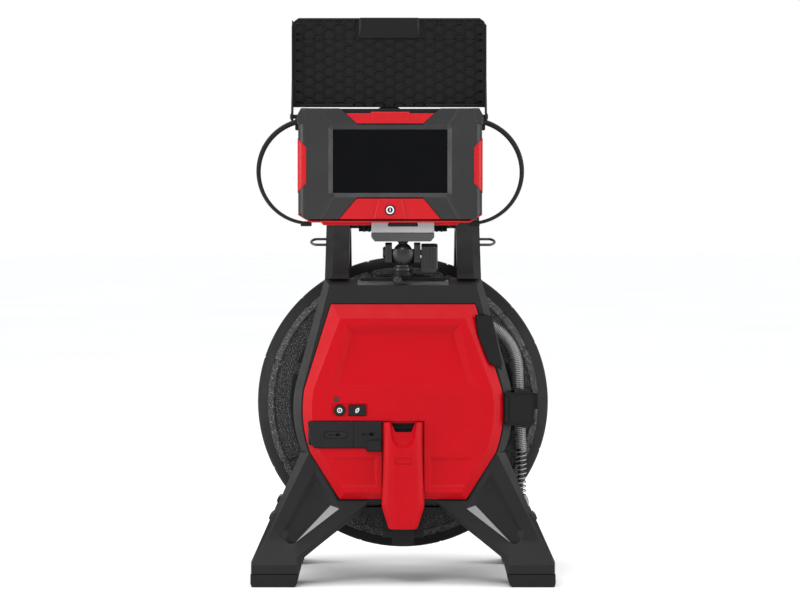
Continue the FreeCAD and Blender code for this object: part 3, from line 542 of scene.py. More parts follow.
def trim_pieces():
    """The red accents on the monitor, the tray under it and its rail."""
    top = [(-62.0, 661.6), (-27.5, 661.6), (-26.5, 663.8), (26.5, 663.8), (27.5, 661.6), (62.0, 661.6),
           (46.2, 647.2), (-46.2, 647.2)]
    top_piece = stack("trim_top", raised(about(top), -133, -154.0, 0.7, -154.6),
                      RED_TRIM, "monitor", edge=0.35)
    plate = [(-26.0, 662.9), (26.0, 662.9), (25.0, 648.0), (-25.0, 648.0)]
    plate = rounded_loop(plate, 1.0, 3)
    stack("trim_top_plate", raised(about(plate), -154.4, -155.1, 0.5, -155.5),
          RED_TRIM, "monitor", edge=0.2)
    low = [(-46.8, 542.4), (46.8, 542.4), (71.0, 513.6), (-71.0, 513.6)]
    stack("trim_low", raised(about(low), -133, -153.8, 0.8, -154.5),
          RED_TRIM, "monitor", edge=0.35)
    mid = rounded_loop([(-16.6, 541.6), (16.6, 541.6), (22.6, 514.2), (-22.6, 514.2)], 1.2, 3)
    mid_piece = stack("trim_low_plate", raised(about(mid), -154.2, -155.4, 0.9, -156.1),
                      RED_TRIM, "monitor", edge=0.3)
    solid_knife(mid_piece, [cutter((circle(MX, 526.4, 7.3), -150), (circle(MX, 526.4, 7.3), -160))])
    # side accents follow the rounded side
    for sign in (-1, 1):
        bm = bmesh.new()
        arc = [(-117.4, MON_FRONT - 0.25), (-121.7, MON_FRONT + 0.55), (-125.8, MON_FRONT + 3.2),
               (-128.5, MON_FRONT + 7.2), (-129.4, MON_FRONT + 12.2), (-129.4, -140.0)]
        span = [(564.0, 614.0), (560.0, 618.4), (555.0, 623.0), (551.6, 626.0), (550.4, 627.0),
                (550.4, 627.0)]
        rows = []
        for (x, y), (lo, hi) in zip(arc, span):
            rows.append((point(MX - sign * x if sign > 0 else MX + x, y, hi),
                         point(MX - sign * x if sign > 0 else MX + x, y, lo)))
        vs = [(bm.verts.new(a), bm.verts.new(b)) for a, b in rows]
        for (a, b), (c, d) in zip(vs, vs[1:]):
            bm.faces.new((a, b, d, c))
        bmesh.ops.recalc_face_normals(bm, faces=bm.faces)
        piece = finish_mesh(bm, "trim_side_%s" % ("right" if sign > 0 else "left"), RED_TRIM, "monitor")
        th = piece.modifiers.new("thick", "SOLIDIFY")
        th.thickness = 0.9 * MM
        th.offset = 0
        bv = piece.modifiers.new("round", "BEVEL")
        bv.width, bv.segments = 0.2 * MM, 2
    tray = [(-111.2, 511.3), (-129.0, 521.2), (-129.0, 519.4), (-111.5, 509.0), (111.5, 509.0),
            (129.0, 519.4),
            (129.0, 521.2), (111.2, 511.3)]
    stack("trim_tray", [(about(tray), -110), (about(tray), -153.0),
                        (about([(x * 0.997, z) for x, z in tray]), -154.2)],
          RED_TRIM, "monitor", edge=0.4)
    rail = [(-97, 509.2), (-94, 505.2), (94, 505.2), (97, 509.2)]
    stack("trim_rail", [(about(rail, -18), -138), (about(rail, -18), -114)], RED_TRIM, "monitor", edge=0.5)
    return top_piece


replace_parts(trim_pieces(), "monitor_trim")

for sign in (-1, 1):
    guard = [(-129.6, 646.5), (-132.4, 655.0), (-124.6, 668.9), (-114.0, 668.9), (-116.5, 660.0),
             (-118.0, 646.5)]
    loop = [(MX + x, z) for x, z in guard] if sign < 0 else [(MX - x, z) for x, z in reversed(guard)]
    stack("corner_guard_%s" % ("left" if sign < 0 else "right"),
          raised(loop, -133, -152.5, 1.6, -156.4), BEZEL, "monitor", edge=1.1, steps=3)

# display glass in the bezel's window
glass = stack("display_glass", [(rect(MX - 80.2, MX + 80.2, 550.4, 639.1), -145),
                                (rect(MX - 80.2, MX + 80.2, 550.4, 639.1), -150.3)], SCREEN, "monitor",
                                edge=0)
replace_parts(glass, "display_panel")


def print_face(bm, loop, y):
    bm.faces.new([bm.verts.new(point(x, y, z)) for x, z in loop])


def print_ring(bm, outer, inner, y):
    """A flat ring between two outlines of equal length."""
    n = len(outer)
    for k in range(n):
        j = (k + 1) % n
        print_face(bm, [outer[k], outer[j], inner[j], inner[k]], y)


def power_button(cx, cz, r, y, body, name, ring=(0.56, 0.80)):
    """A round rubber button with a plain power symbol."""
    cap = stack(name, [(circle(cx, cz, r, 40), y + 5), (circle(cx, cz, r, 40), y + 0.5),
                       (circle(cx, cz, r * 0.93, 40), y + 0.1), (circle(cx, cz, r * 0.6, 40), y)], SOFT,
                       body, edge=0,
                angle=50)
    bm = bmesh.new()
    a, b = r * ring[0], r * ring[1]
    print_ring(bm, circle(cx, cz, b, 40), circle(cx, cz, a, 40), y - 0.05)
    print_face(bm, rect(cx - a * 0.17, cx + a * 0.17, cz - a * 0.52, cz + a * 0.52), y - 0.05)
    finish_mesh(bm, name + "_print", PRINT, body)
    return cap


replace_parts(power_button(MX, 526.4, 6.9, -157.6, "monitor_key", "monitor_power_cap"), "monitor_power_button")
mic = bmesh.new()
mic_hole = circle(-85.0, 532.7, 0.9, 16)
add_stack(mic, [(mic_hole, -153.35), (mic_hole, -153.55)])
finish_mesh(mic, "microphone_hole", DARK, "monitor")


# ---- visor ----

VX = -19.5
VISOR_Y0 = -125.5


def honeycomb(x0, x1, z0, z1, y_base, y_top, pitch_x=14.1, pitch_z=14.45):
    """Tapered ribs that part flat-topped hexagon cells, clipped to a rectangle."""
    a = pitch_x / 1.5
    b = pitch_z / math.sqrt(3)
    hexagon = [(math.cos(math.radians(60 * k)), math.sin(math.radians(60 * k))) for k in range(6)]
    cols = int((x1 - x0) / pitch_x) + 4
    rows = int((z1 - z0) / pitch_z) + 4
    own = bmesh.new()
    for c in range(-cols // 2, cols // 2 + 1):
        for r in range(-1, rows):
            cx = (x0 + x1) / 2 + c * pitch_x
            cz = z0 + 6.0 + r * pitch_z + (pitch_z / 2 if c % 2 else 0)
            rings = []
            for shrink, y in ((1.0, y_top), (0.915, y_top), (0.80, y_base)):
                rings.append([own.verts.new(point(cx + a * u * shrink, y, cz + b * v * shrink)) for u,
                              v in hexagon])
            skin(own, rings, caps=False)
            own.faces.new(rings[2][::-1])
    bmesh.ops.remove_doubles(own, verts=own.verts, dist=2e-5)
    for co, no in ((point(x0, 0, 0), (-1, 0, 0)), (point(x1, 0, 0), (1, 0, 0)),
                   (point(0, 0, z0), (0, 0, -1)), (point(0, 0, z1), (0, 0, 1))):
        bmesh.ops.bisect_plane(own, geom=own.verts[:] + own.edges[:] + own.faces[:], plane_co=co, plane_no=no,
                               clear_outer=True, dist=1e-7)
    return own


def visor():
    hw = 137.0
    lower = [(-hw + 1.6, 671.2), (hw - 1.6, 671.2), (hw - 1.6, 766.6), (-hw + 1.6, 766.6)]
    upper = [(-hw + 1.6, 767.0), (hw - 1.6, 767.0), (hw - 1.2, 786.0), (hw - 3.4, 792.0), (hw - 9.0, 796.0),
             (-hw + 9.0, 796.0), (-hw + 3.4, 792.0), (-hw + 1.2, 786.0)]
    bm = bmesh.new()
    for loop in (lower, upper):
        add_stack(bm, [(about(loop, VX), VISOR_Y0 + 3.0), (about(loop, VX), VISOR_Y0 + 0.02)])
    add_box(bm, VX - hw + 3, VX + hw - 3, VISOR_Y0 + 1.2, VISOR_Y0 + 2.8, 764.0, 770.0)
    base = finish_mesh(bm, "visor_plates", BLACK, "visor", edge=0.4)
    for name, z0, z1 in (("visor_cells_low", 673.0, 766.2), ("visor_cells_top", 767.8, 793.6)):
        own = honeycomb(VX - hw + 6.4, VX + hw - 6.4, z0, z1, VISOR_Y0 + 0.6, VISOR_Y0 - 1.9)
        if z0 > 700:
            # the pull tab covers the middle
            gone = [f for f in own.faces if abs(f.calc_center_median().x / MM - VX) < 44]
            bmesh.ops.delete(own, geom=gone, context="FACES")
        cells = finish_mesh(own, name, BLACK, "visor", edge=0, angle=18)
        cells.modifiers.new("thick", "SOLIDIFY").thickness = 0.3 * MM
    # rim walls round the plates
    bm = bmesh.new()
    for sign in (-1, 1):
        a, b = sorted((VX + sign * (hw - 6.6), VX + sign * (hw - 0.4)))
        wall = [(a, 672.0), (b, 676.0), (b, 787.0), (a, 794.0)]
        add_stack(bm, [(wall, VISOR_Y0 + 1.0), (wall, VISOR_Y0 - 1.2)])
        a, b = sorted((VX + sign * (hw - 2.6), VX + sign * (hw - 0.2)))
        add_box(bm, a, b, -134.5, VISOR_Y0 + 2.8, 703.0, 786.0)
    add_box(bm, VX - hw + 9, VX + hw - 9, VISOR_Y0 - 2.0, VISOR_Y0 + 1.0, 793.0, 796.4)
    finish_mesh(bm, "visor_rim", BLACK, "visor", edge=0.5)
    tab = about(rounded_loop(rect(-42.5, 42.5, 768.4, 796.9), 2.5, 3), VX)
    tab_top = about(rounded_loop(rect(-39.5, 39.5, 781.5, 796.0), 2.5, 3), VX)
    stack("visor_tab", [(tab, VISOR_Y0 + 1), (tab, VISOR_Y0 - 2.4), (tab_top, VISOR_Y0 - 4.6)],
          BLACK, "visor", edge=0.5)
    # side arms down to the pivots, and the flanges under the plate
    bm = bmesh.new()
    for sign in (-1, 1):
        xa, xb = sorted((VX + sign * (hw - 2.8), VX + sign * hw))
        side = [(-134.3, 706.0), (VISOR_Y0 + 2.8, 706.0), (VISOR_Y0 + 2.8, 678.0), (-141.5, 650.6),
                (-146.0, 649.4),
                (-151.0, 650.0), (-154.6, 653.5), (-155.0, 658.0), (-153.0, 663.5), (-136.5, 694.0)]
        add_side_stack(bm, [(side, xa), (side, xb)])
        xa, xb = sorted((VX + sign * 51.0, VX + sign * 125.0))
        add_box(bm, xa, xb, -134.0, VISOR_Y0 + 0.5, 671.4, 675.5)
    finish_mesh(bm, "visor_arms", BLACK, "visor", edge=0.6)
    bm = bmesh.new()
    for sign in (-1, 1):
        x = VX + sign * hw
        add_rod(bm, (x - sign * 0.5, -148, 657), (x + sign * 1.0, -148, 657),
                [(0, 4.6), (0.6, 4.6), (1, 3.9)], 28)
    finish_mesh(bm, "visor_pivot_caps", SOFT, "visor")
    return base


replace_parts(visor(), "visor")


# ---- hand straps ----

def ribbon(name, path, width, thick, twist, mat, body, y_mid):
    """A soft band along (x, z) points. width lies along Y, and twist in degrees tips it from end to end."""
    n = len(path)
    bm = bmesh.new()
    rings = []
    for i, (x, z) in enumerate(path):
        p0, p1 = Vector(path[max(0, i - 1)]), Vector(path[min(n - 1, i + 1)])
        d = (p1 - p0).normalized()
        across = Vector((-d.y, 0, d.x))
        t = i / (n - 1)
        a = math.radians(twist[0] + (twist[1] - twist[0]) * t)
        w = Vector((0, 1, 0)) * math.cos(a) + across * math.sin(a)
        h = w.cross(Vector((d.x, 0, d.y))).normalized()
        c = Vector((x, y_mid, z))
        deep = thick[0] + (thick[1] - thick[0]) * max(0.0, (t - 0.3) / 0.7)
        ring = []
        for u, v in ((-1, -0.55), (-0.86, -1), (-0.2, -1), (0.2, -1), (0.86, -1), (1, -0.55), (1, 0.55),
                     (0.86, 1),
                     (0.2, 1), (-0.2, 1), (-0.86, 1), (-1, 0.55)):
            ring.append(bm.verts.new((c + w * (u * width / 2) + h * (v * deep / 2)) * MM))
        rings.append(ring)
    skin(bm, rings)
    return finish_mesh(bm, name, mat, body, angle=50)


left_path = through((-146.8, 651.5), (-203.2, 588.0), (-134.0, 508.0), 40, anticlockwise=True)
left_strap = ribbon("hand_strap_left", left_path, 21.0, (6.6, 4.0), (-6, -2), SOFT, "monitor", -120.5)
right_path = [(2 * MX - x, z) for x, z in left_path]
ribbon("hand_strap_right", right_path, 21.0, (6.6, 4.0), (6, 2), SOFT, "monitor", -120.5)
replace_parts(left_strap, "hand_straps")
for sign in (-1, 1):
    side = "right" if sign > 0 else "left"
    x_side = MX + sign * 129.0
    bm = bmesh.new()
    a, b = sorted((x_side, x_side + sign * 4.6))
    add_box(bm, a, b, -133, -110.5, 639, 655)
    a, b = sorted((x_side - sign * 18.0, x_side - sign * 3.0))
    add_box(bm, a, b, -132, -110, 503.8, 510.9)
    finish_mesh(bm, "strap_anchors_" + side, SOFT, "monitor", edge=1.2, steps=3)

# ---- drum ----

AX = 252.0
SLOTS = (24, 41, 72, 104, 134, 162, 207, 230, 253, 285, 312, 341)


def spin(bm, profile, a0=0, a1=360, steps=216, mat=0):
    """Turns (radius, y) points about the drum's axis from a0 to a1 degrees."""
    full = abs(a1 - a0) >= 360
    rings = []
    for i in range(steps if full else steps + 1):
        a = math.radians(a0 + (a1 - a0) * i / steps)
        rings.append([bm.verts.new(point(r * math.cos(a), y, AX + r * math.sin(a))) for r, y in profile])
    skin(bm, rings, mat, wrap=full)


def drum_front():
    bm = bmesh.new()
    spin(bm, [(150, -74), (185, -74), (187.5, -72.4), (199, -64.5), (204.4, -60.5), (206, -57.5), (206, -0.2),
              (202, -0.2), (202, -56), (186, -70.5), (154, -70.5), (154, -60), (150, -60)])
    shell = finish_mesh(bm, "drum_front", PEBBLE, "drum", edge=0.6, angle=20)
    bands = [(a, b) for a, b in zip(SLOTS, SLOTS[1:] + (SLOTS[0] + 360,))]
    bm = bmesh.new()
    for a, b in bands:
        g = 1.0
        steps = max(3, int((b - a) / 1.6))
        # bands in the upper half take the lighter copy, painted top light on a drum that turns; the rest keep
        # the plain pebbled skin
        spin(bm, [(182.6, -73.6), (183.2, -75.2), (185.4, -75.5), (192.6, -70.9), (193.4, -69.2),
                  (192.0, -66.5)],
             a + g, b - g, steps, mat=0 if (a + b) / 2 < 165 else 1)
    finish_mesh(bm, "drum_bands", (TOP_LIT_SKIN, PEBBLE), "drum", edge=0.5, angle=24)
    # smooth outer bevel
    bm = bmesh.new()
    spin(bm, [(192.2, -67.6), (192.9, -69.6), (198.6, -66.2), (205.2, -61.0), (207.0, -57.6),
              (206.0, -56.8), (198, -63)])
    finish_mesh(bm, "drum_rim_bevel", SMOOTH, "drum", edge=0.4, angle=24)
    bm = bmesh.new()
    for a, b in bands:
        g = 0.3
        steps = max(3, int((b - a) / 1.6))
        spin(bm, [(204.0, -58.2), (206.6, -55.5), (208.2, -52.5), (208.2, -11.5), (206.6, -9.5), (204, -9.5)],
             a + g, b - g, steps)
        mid = (a + b) / 2
        if b - a > 16:
            spin(bm, [(149.6, -73.2), (149.6, -74.9), (151.5, -75.4), (160, -75.4), (161.5, -74.9),
                      (161.5, -73.2)],
                 a + 3.2, b - 3.2, steps)
    finish_mesh(bm, "drum_treads", SMOOTH, "drum", edge=0.5, angle=24)
    # short grooves that cross the face
    bm = bmesh.new()
    for a, _ in bands[::2]:
        c, s = math.cos(math.radians(a)), math.sin(math.radians(a))
        loop = [(c * r - s * t, AX + s * r + c * t) for r, t in rect(164, 183.4, -0.9, 0.9)]
        add_stack(bm, raised(loop, -73.5, -74.6, 0.5, -74.9))
    finish_mesh(bm, "drum_face_ribs", SMOOTH, "drum", edge=0.2)
    return shell


def drum_rear():
    bm = bmesh.new()
    spin(bm, [(206, 0.2), (206, 60), (204, 64), (192, 76), (188.5, 78), (52, 78), (52, 74.6), (121, 74.6),
              (121, -58),
              (124, -58), (124, 74.6), (188, 74.6), (202.4, 61), (202.4, 0.2)])
    shell = finish_mesh(bm, "drum_rear", PEBBLE, "drum", edge=0.6, angle=20)
    bm = bmesh.new()
    for a, b in zip(SLOTS, SLOTS[1:] + (SLOTS[0] + 360,)):
        steps = max(3, int((b - a) / 1.6))
        spin(bm, [(204, 9.5), (206.6, 9.5), (207.6, 11.5), (207.6, 52), (206.2, 56), (204, 58)], a + 0.7,
             b - 0.7, steps)
        spin(bm, [(183, 77.4), (184, 78.9), (187.5, 79.0), (198.8, 70.6), (198.4, 68.6)], a + 1.0, b - 1.0,
             steps)
    # spokes pressed into the back face
    for k in range(10):
        a = math.radians(36 * k + 18)
        c, s = math.cos(a), math.sin(a)
        q = [(78, -9), (172, -16), (172, 16), (78, 9)]
        loop = rounded_loop([(c * r - s * t, AX + s * r + c * t) for r, t in q], 6, 4)
        add_stack(bm, raised(loop, 77, 78.9, 1.2, 79.6))
    finish_mesh(bm, "drum_rear_treads", SMOOTH, "drum", edge=0.5, angle=24)
    return shell


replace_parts(drum_front(), "drum_front_shell")
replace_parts(drum_rear(), "drum_rear_shell")


def cable_windings():
    """Turns of the push cable on the outside of the coil, as one wound bead surface."""
    bm = bmesh.new()
    r_cable = 4.2
    prof = []
    rows = 10
    for i in range(rows):
        yc = -40 + i * 9.6
        for k in range(7):
            a = math.pi * (k / 6.0)
            prof.append((170 - r_cable * 0.9 * math.sin(a), yc - r_cable + 2 * r_cable * k / 6.0))
    prof += [(194, 54), (194, -44)]
    spin(bm, prof, steps=144)
    return finish_mesh(bm, "cable_turns", CABLE, "drum", angle=60)


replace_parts(cable_windings(), "push_cable_coil")


# ---- cable spring ----

def run_points():
    """Middle line of the spring from the guide down to the camera head: straight, one bend, straight."""
    p, q, r = Vector((108, -91, 367.5)), Vector((160.5, -91, 353)), Vector((167.2, -91, 187))
    u, v = (p - q).normalized(), (r - q).normalized()
    half = u.angle(v) / 2
    rad = 70.0
    reach = rad / math.tan(half)
    a, b = q + u * reach, q + v * reach
    c = q + (u + v).normalized() * (rad / math.sin(half))
    pts = [p.lerp(a, i / 12) for i in range(12)]
    ua, ub = a - c, b - c
    total = ua.angle(ub)
    axis = ua.cross(ub).normalized()
    for i in range(25):
        pts.append(c + Matrix.Rotation(total * i / 24, 3, axis) @ ua)
    pts += [b.lerp(r, i / 40) for i in range(1, 41)]
    end = Vector((167.2, -91, 120.0))
    pts += [r.lerp(end, i / 16) for i in range(1, 17)]
    return pts


def coil(name, pts, r_mid, wire, pitch, mat, body, sides=8, per_turn=20):
    """A helical wire of even pitch round a middle line."""
    lengths = [0.0]
    for a, b in zip(pts, pts[1:]):
        lengths.append(lengths[-1] + (b - a).length)
    turns = lengths[-1] / pitch
    n = int(turns * per_turn)
    bm = bmesh.new()
    rings = []
    k = 0
    for i in range(n + 1):
        s = lengths[-1] * i / n
        while k < len(pts) - 2 and lengths[k + 1] < s:
            k += 1
        t = (s - lengths[k]) / (lengths[k + 1] - lengths[k])
        c = pts[k].lerp(pts[k + 1], t)
        d = (pts[k + 1] - pts[k]).normalized()
        e1 = Vector((0, 1, 0))
        e2 = d.cross(e1).normalized()
        ang = 2 * math.pi * turns * i / n
        out = e1 * math.cos(ang) + e2 * math.sin(ang)
        around = -e1 * math.sin(ang) + e2 * math.cos(ang)
        along_wire = (d * (pitch / (2 * math.pi)) + around * r_mid).normalized()
        other = along_wire.cross(out).normalized()
        centre = c + out * r_mid
        rings.append([bm.verts.new((centre + (out * math.cos(w) + other * math.sin(w)) * wire / 2) * MM)
                      for w in [2 * math.pi * j / sides for j in range(sides)]])
    skin(bm, rings)
    return finish_mesh(bm, name, mat, body, angle=80)


line = run_points()
split = next(i for i, p in enumerate(line) if p.z < 187.5 and i > 40)
close = coil("guide_spring_wire", line[:split + 1], 7.8, 1.9, 2.6, STEEL, "stand")
coil("head_spring_wire", line[split:], 7.7, 1.9, 6.4, STEEL, "stand", per_turn=24)
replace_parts(close, "cable_spring")
core_bm = bmesh.new()
rings = []
for i, p in enumerate(line):
    d = (line[min(i + 1, len(line) - 1)] - line[max(0, i - 1)]).normalized()
    e1 = Vector((0, 1, 0))
    e2 = d.cross(e1).normalized()
    rr = 6.7 if i <= split else 4.2
    rings.append([core_bm.verts.new((p + (e1 * math.cos(w) + e2 * math.sin(w)) * rr) * MM)
                  for w in [2 * math.pi * j / 20 for j in range(20)]])
skin(core_bm, rings, caps=False)
finish_mesh(core_bm, "spring_core", CABLE, "stand")


# ---- ball mount ----

BX, BY, BZ = 0.0, -126.0, 467.0


def ball_mount():
    # housing: a split cup with two jaws and a turned foot
    bm = bmesh.new()
    prof = [(0.0, 441.5), (13.0, 441.5), (13.0, 445.0), (11.2, 446.2), (11.2, 449.0), (14.6, 452.5),
            (17.6, 457.5),
            (19.0, 463.0), (19.2, 468.0), (18.0, 471.6), (15.6, 472.0), (13.9, 470.4), (13.9, 466), (0, 456)]
    add_turned(bm, prof, BX, BY)
    cup = finish_mesh(bm, "mount_cup", MOUNT, "mount_turn", angle=35)
    bm = bmesh.new()
    for sign in (-1, 1):
        # jaws with fine grip lines, thicker at the clamp side
        x0, x1 = (-25.0, -15.4) if sign < 0 else (15.4, 24.6)
        outline = rounded_loop([(-12.5, 452), (12.5, 452), (12.5, 479.0), (8.0, 481.0), (-8.0, 481.0),
                                (-12.5, 479.0)], 3, 3)
        outline = [(BY + y, z) for y, z in outline]
        add_side_stack(bm, [(outline, x0), (outline, x1)])
    finish_mesh(bm, "mount_jaws", MOUNT, "mount_turn", edge=0.9, steps=3)
    bm = bmesh.new()
    for sign in (-1, 1):
        for k in range(4):
            x = sign * (17.2 + 1.9 * k)
            add_box(bm, x - 0.45, x + 0.45, BY - 13.2, BY - 12.2, 455, 477)
    finish_mesh(bm, "mount_jaw_ribs", MOUNT, "mount_turn", edge=0.3)
    # a round cap on the free side
    bm = bmesh.new()
    add_rod(bm, (-25.0, BY, BZ), (-28.5, BY, BZ), [(0, 8.2), (0.5, 8.2), (1, 6.4)], 36)
    finish_mesh(bm, "mount_side_cap", MOUNT, "mount_turn", edge=0.5)
    return cup


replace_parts(ball_mount(), "mount_housing")


def clamp_knob():
    bm = bmesh.new()
    side = rounded_loop([(-9.5, 437.5), (9.5, 437.5), (12.6, 444), (12.6, 474), (8, 479.6), (-8, 479.6),
                         (-12.6, 474),
                         (-12.6, 444)], 2.0, 3)
    shrink_at = [(0.6, 25.8), (0.0, 27.6), (0.0, 46.8), (1.4, 48.8)]
    add_side_stack(bm, [([(BY + y, z) for y, z in inset_loop(side, shrink)], x) for shrink, x in shrink_at])
    knob = finish_mesh(bm, "clamp_knob", MOUNT, "clamp", edge=0.8, steps=3)
    bm = bmesh.new()
    add_rod(bm, (18.6, BY, BZ), (27, BY, BZ), [(0, 4.0), (1, 4.0)], 28)
    for k in range(4):
        x = 30.5 + 4.4 * k
        add_box(bm, x - 0.7, x + 0.7, BY - 13.4, BY - 12.2, 446, 472)
    finish_mesh(bm, "clamp_screw_and_ribs", MOUNT, "clamp", edge=0.35)
    return knob


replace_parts(clamp_knob(), "clamp_lever")


def lock_screw():
    bm = bmesh.new()
    for profile in ([(6.6, -145.3), (6.6, -147.0)],
                    [(5.6, -147.0), (5.6, -149.2), (5.0, -150.8), (3.6, -151.9), (1.6, -152.4)]):
        add_stack(bm, [(circle(-8, 428.5, r, 48), y) for r, y in profile])
    return finish_mesh(bm, "pan_lock_knob", MOUNT, "pan_lock", angle=42)


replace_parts(lock_screw(), "mount_lock_screw")


def ball_and_stem():
    bm = bmesh.new()
    prof = [(13.5 * math.sin(math.radians(a)), BZ - 13.5 * math.cos(math.radians(a))) for a in range(0, 148,
                                                                                                     7)]
    prof += [(6.4, 479.0), (6.2, 480.4), (7.6, 481.6), (7.6, 482.4), (0, 482.4)]
    add_turned(bm, prof, BX, BY)
    return finish_mesh(bm, "tilt_ball_and_stem", BALL, "mount_tilt", angle=40)


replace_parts(ball_and_stem(), "tilt_ball")


def cradle_pieces():
    """Light grey jaws on a dark base, with a dark slot in the front cheek."""
    bm = bmesh.new()
    front = [(-44.6, 494.5), (44.0, 494.5), (43.4, 509.5), (41.0, 511.4), (-41.6, 511.4), (-44.0, 509.5)]
    add_stack(bm, raised(front, -138.6, -144.4, 1.1, -146.0))
    add_stack(bm, raised(front, -113.4, -107.4, 1.1, -106.0))
    cheeks = finish_mesh(bm, "cradle_cheeks", GREY, "mount_tilt", edge=0.8, steps=3)
    solid_knife(cheeks, [cutter((rounded_loop([(-22, 503.5), (22, 503.5), (20, 509.6), (-20, 509.6)], 2, 3),
                                 -150),
                                 (rounded_loop([(-22, 503.5), (22, 503.5), (20, 509.6), (-20, 509.6)], 2,
                                               3), -143.5))])
    bm = bmesh.new()
    add_stack(bm, [([(-21.6, 503.8), (21.6, 503.8), (19.6, 509.3), (-19.6, 509.3)], -144.0),
                   ([(-21.6, 503.8), (21.6, 503.8), (19.6, 509.3), (-19.6, 509.3)], -144.6)])
    finish_mesh(bm, "cradle_slot", DARK, "mount_tilt")
    base = [(-44.6, 494.3), (-44.6, 488.5), (-39.5, 482.4), (39.0, 482.4), (44.0, 488.5), (44.0, 494.3)]
    stack("cradle_base", raised(base, -106.6, -144.6, 1.2, -145.8), CRADLE, "mount_tilt",
                  edge=1.2, steps=3)
    bm = bmesh.new()
    add_box(bm, -44.0, 43.6, -138.8, -113.2, 494.0, 504.8)
    finish_mesh(bm, "cradle_floor", CRADLE, "mount_tilt", edge=0.4)
    return cheeks


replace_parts(cradle_pieces(), "monitor_cradle")

# ---- control hub ----

def shield(top, upper, middle, lower, bottom, n=14):
    """The hub's outline seen from the front, anticlockwise from the top right corner."""
    right = [top] + through(upper, middle, lower, n) + [bottom]
    return [(-x, z) for x, z in right] + [(x, z) for x, z in reversed(right)]


COVER_OUT = shield((101, 394.3), (138.5, 275), (140.6, 240), (130, 186), (88.8, 120.7))
COVER_IN = shield((87.6, 374.8), (125.2, 275), (127.2, 240), (117.4, 192), (81.6, 131.2))
FACE_Y = -158.0
EXIT = [(102.0, 379.5), (124.0, 379.5), (145, 300), (125.5, 308.5), (118.4, 317), (104.0, 353)]


POCKET_FACES = [(0, 1, 2, 3), (0, 4, 5, 1), (1, 5, 6, 2), (2, 6, 7, 3), (3, 7, 4, 0),
                (4, 8, 9, 5), (5, 9, 10, 6), (6, 10, 11, 7), (7, 11, 8, 4), (8, 11, 10, 9)]


def pocket(lid, rim, floor_points):
    """A cutter through three four-cornered levels of (x, y, z) points: above, at and below the face."""
    bm = bmesh.new()
    verts = [bm.verts.new(point(*p)) for p in lid + rim + floor_points]
    for f in POCKET_FACES:
        bm.faces.new([verts[i] for i in f])
    return as_cutter(bm)


def cover():
    bm = bmesh.new()
    add_stack(bm, [(COVER_OUT, -142.2), (COVER_OUT, -147.0), (COVER_IN, FACE_Y)])
    shell = finish_mesh(bm, "hub_shell", RED, "control_hub", edge=0.8, steps=3, angle=14)
    # dish: deep at the top, running out to nothing lower down
    dish = [(-80.7, 365.9), (79.5, 365.9), (99.6, 281.0), (-99.6, 281.0)]
    knives = [pocket([(x, FACE_Y - 2, z) for x, z in dish], [(x, FACE_Y, z) for x, z in dish],
                     [(-71.4, FACE_Y + 7.6, 354.6), (70.2, FACE_Y + 7.6, 354.6),
                      (91.0, FACE_Y + 0.12, 281.2), (-91.0, FACE_Y + 0.12, 281.2)])]
    # two hollows beside the lever, deepest next to it
    for s in (-1, 1):
        hollow = [(s * 36.5, 180.5), (s * 97, 180.5), (s * 97, 139.0), (s * 36.5, 139.0)]
        knives.append(pocket([(x, FACE_Y - 2, z) for x, z in hollow], [(x, FACE_Y, z) for x, z in hollow],
                             [(s * 40.5, FACE_Y + 3.6, 177.2), (s * 96, FACE_Y + 0.05, 177.6),
                              (s * 80, FACE_Y + 0.05, 142.5), (s * 38.7, FACE_Y + 3.0, 142.0)]))
    # lever channel, port recess and the buttons' field
    knives.append(cutter((rect(-30.4, 30.4, 100, 231.6), FACE_Y - 6),
                         (rect(-29.4, 29.4, 100, 231.0), FACE_Y + 5.4)))
    knives.append(cutter((rect(-17, 17, 200, 228.6), FACE_Y - 6),
                         (rect(-16.5, 16.5, 202, 227.5), FACE_Y + 13)))
    port = [(-134.6, 228), (-131, 231.2), (-29.0, 231.2), (-29.0, 188.4), (-50.6, 188.4), (-52.4, 193.0),
            (-124.6, 192.8),
            (-128.8, 196)]
    knives.append(through_cut(rounded_loop(port, 1.5, 3), FACE_Y - 6, FACE_Y + 6.0))
    knives.append(cutter((rounded_loop(rect(-100.4, -48.6, 237.2, 256.6), 1.5, 3), FACE_Y - 3),
                         (rounded_loop(rect(-99.4, -49.6, 238.2, 255.6), 1.2, 3), FACE_Y + 1.1)))
    for hole in (circle(-88.6, 246.3, 8.2, 40), rect(-76.3, -51.5, 238.5, 254.1),
                 rect(-96.7, -89.5, 258.2, 265.2)):
        knives.append(through_cut(hole, FACE_Y - 3, FACE_Y + 7))
    knives.append(through_cut(inset_loop(EXIT, -0.4), FACE_Y - 5, -140))
    solid_knife(shell, knives)
    # dark linings, so that no wall of a recess is left red where the real one is black
    bm = bmesh.new()
    add_box(bm, -16.3, 16.3, FACE_Y + 12.4, FACE_Y + 12.9, 202, 227)
    for k in range(3):
        add_box(bm, -15.6 + 2 * k, 15.6 - 2 * k, FACE_Y + 6.0 + 2 * k, FACE_Y + 12.6, 221.5 - 6.5 * k,
                223.0 - 6.5 * k)
    finish_mesh(bm, "hub_grip_lining", DARK, "control_hub", edge=0.2)
    bm = bmesh.new()
    lip = [(-127.0, 232.0), (-29.2, 232.0), (-29.2, 234.2), (-126.0, 234.2)]
    add_stack(bm, raised(lip, FACE_Y + 0.5, FACE_Y - 0.5, 0.6, FACE_Y - 1.0))
    finish_mesh(bm, "hub_port_lip", RED, "control_hub", edge=0.3)
    return shell


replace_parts(cover(), "hub_cover")


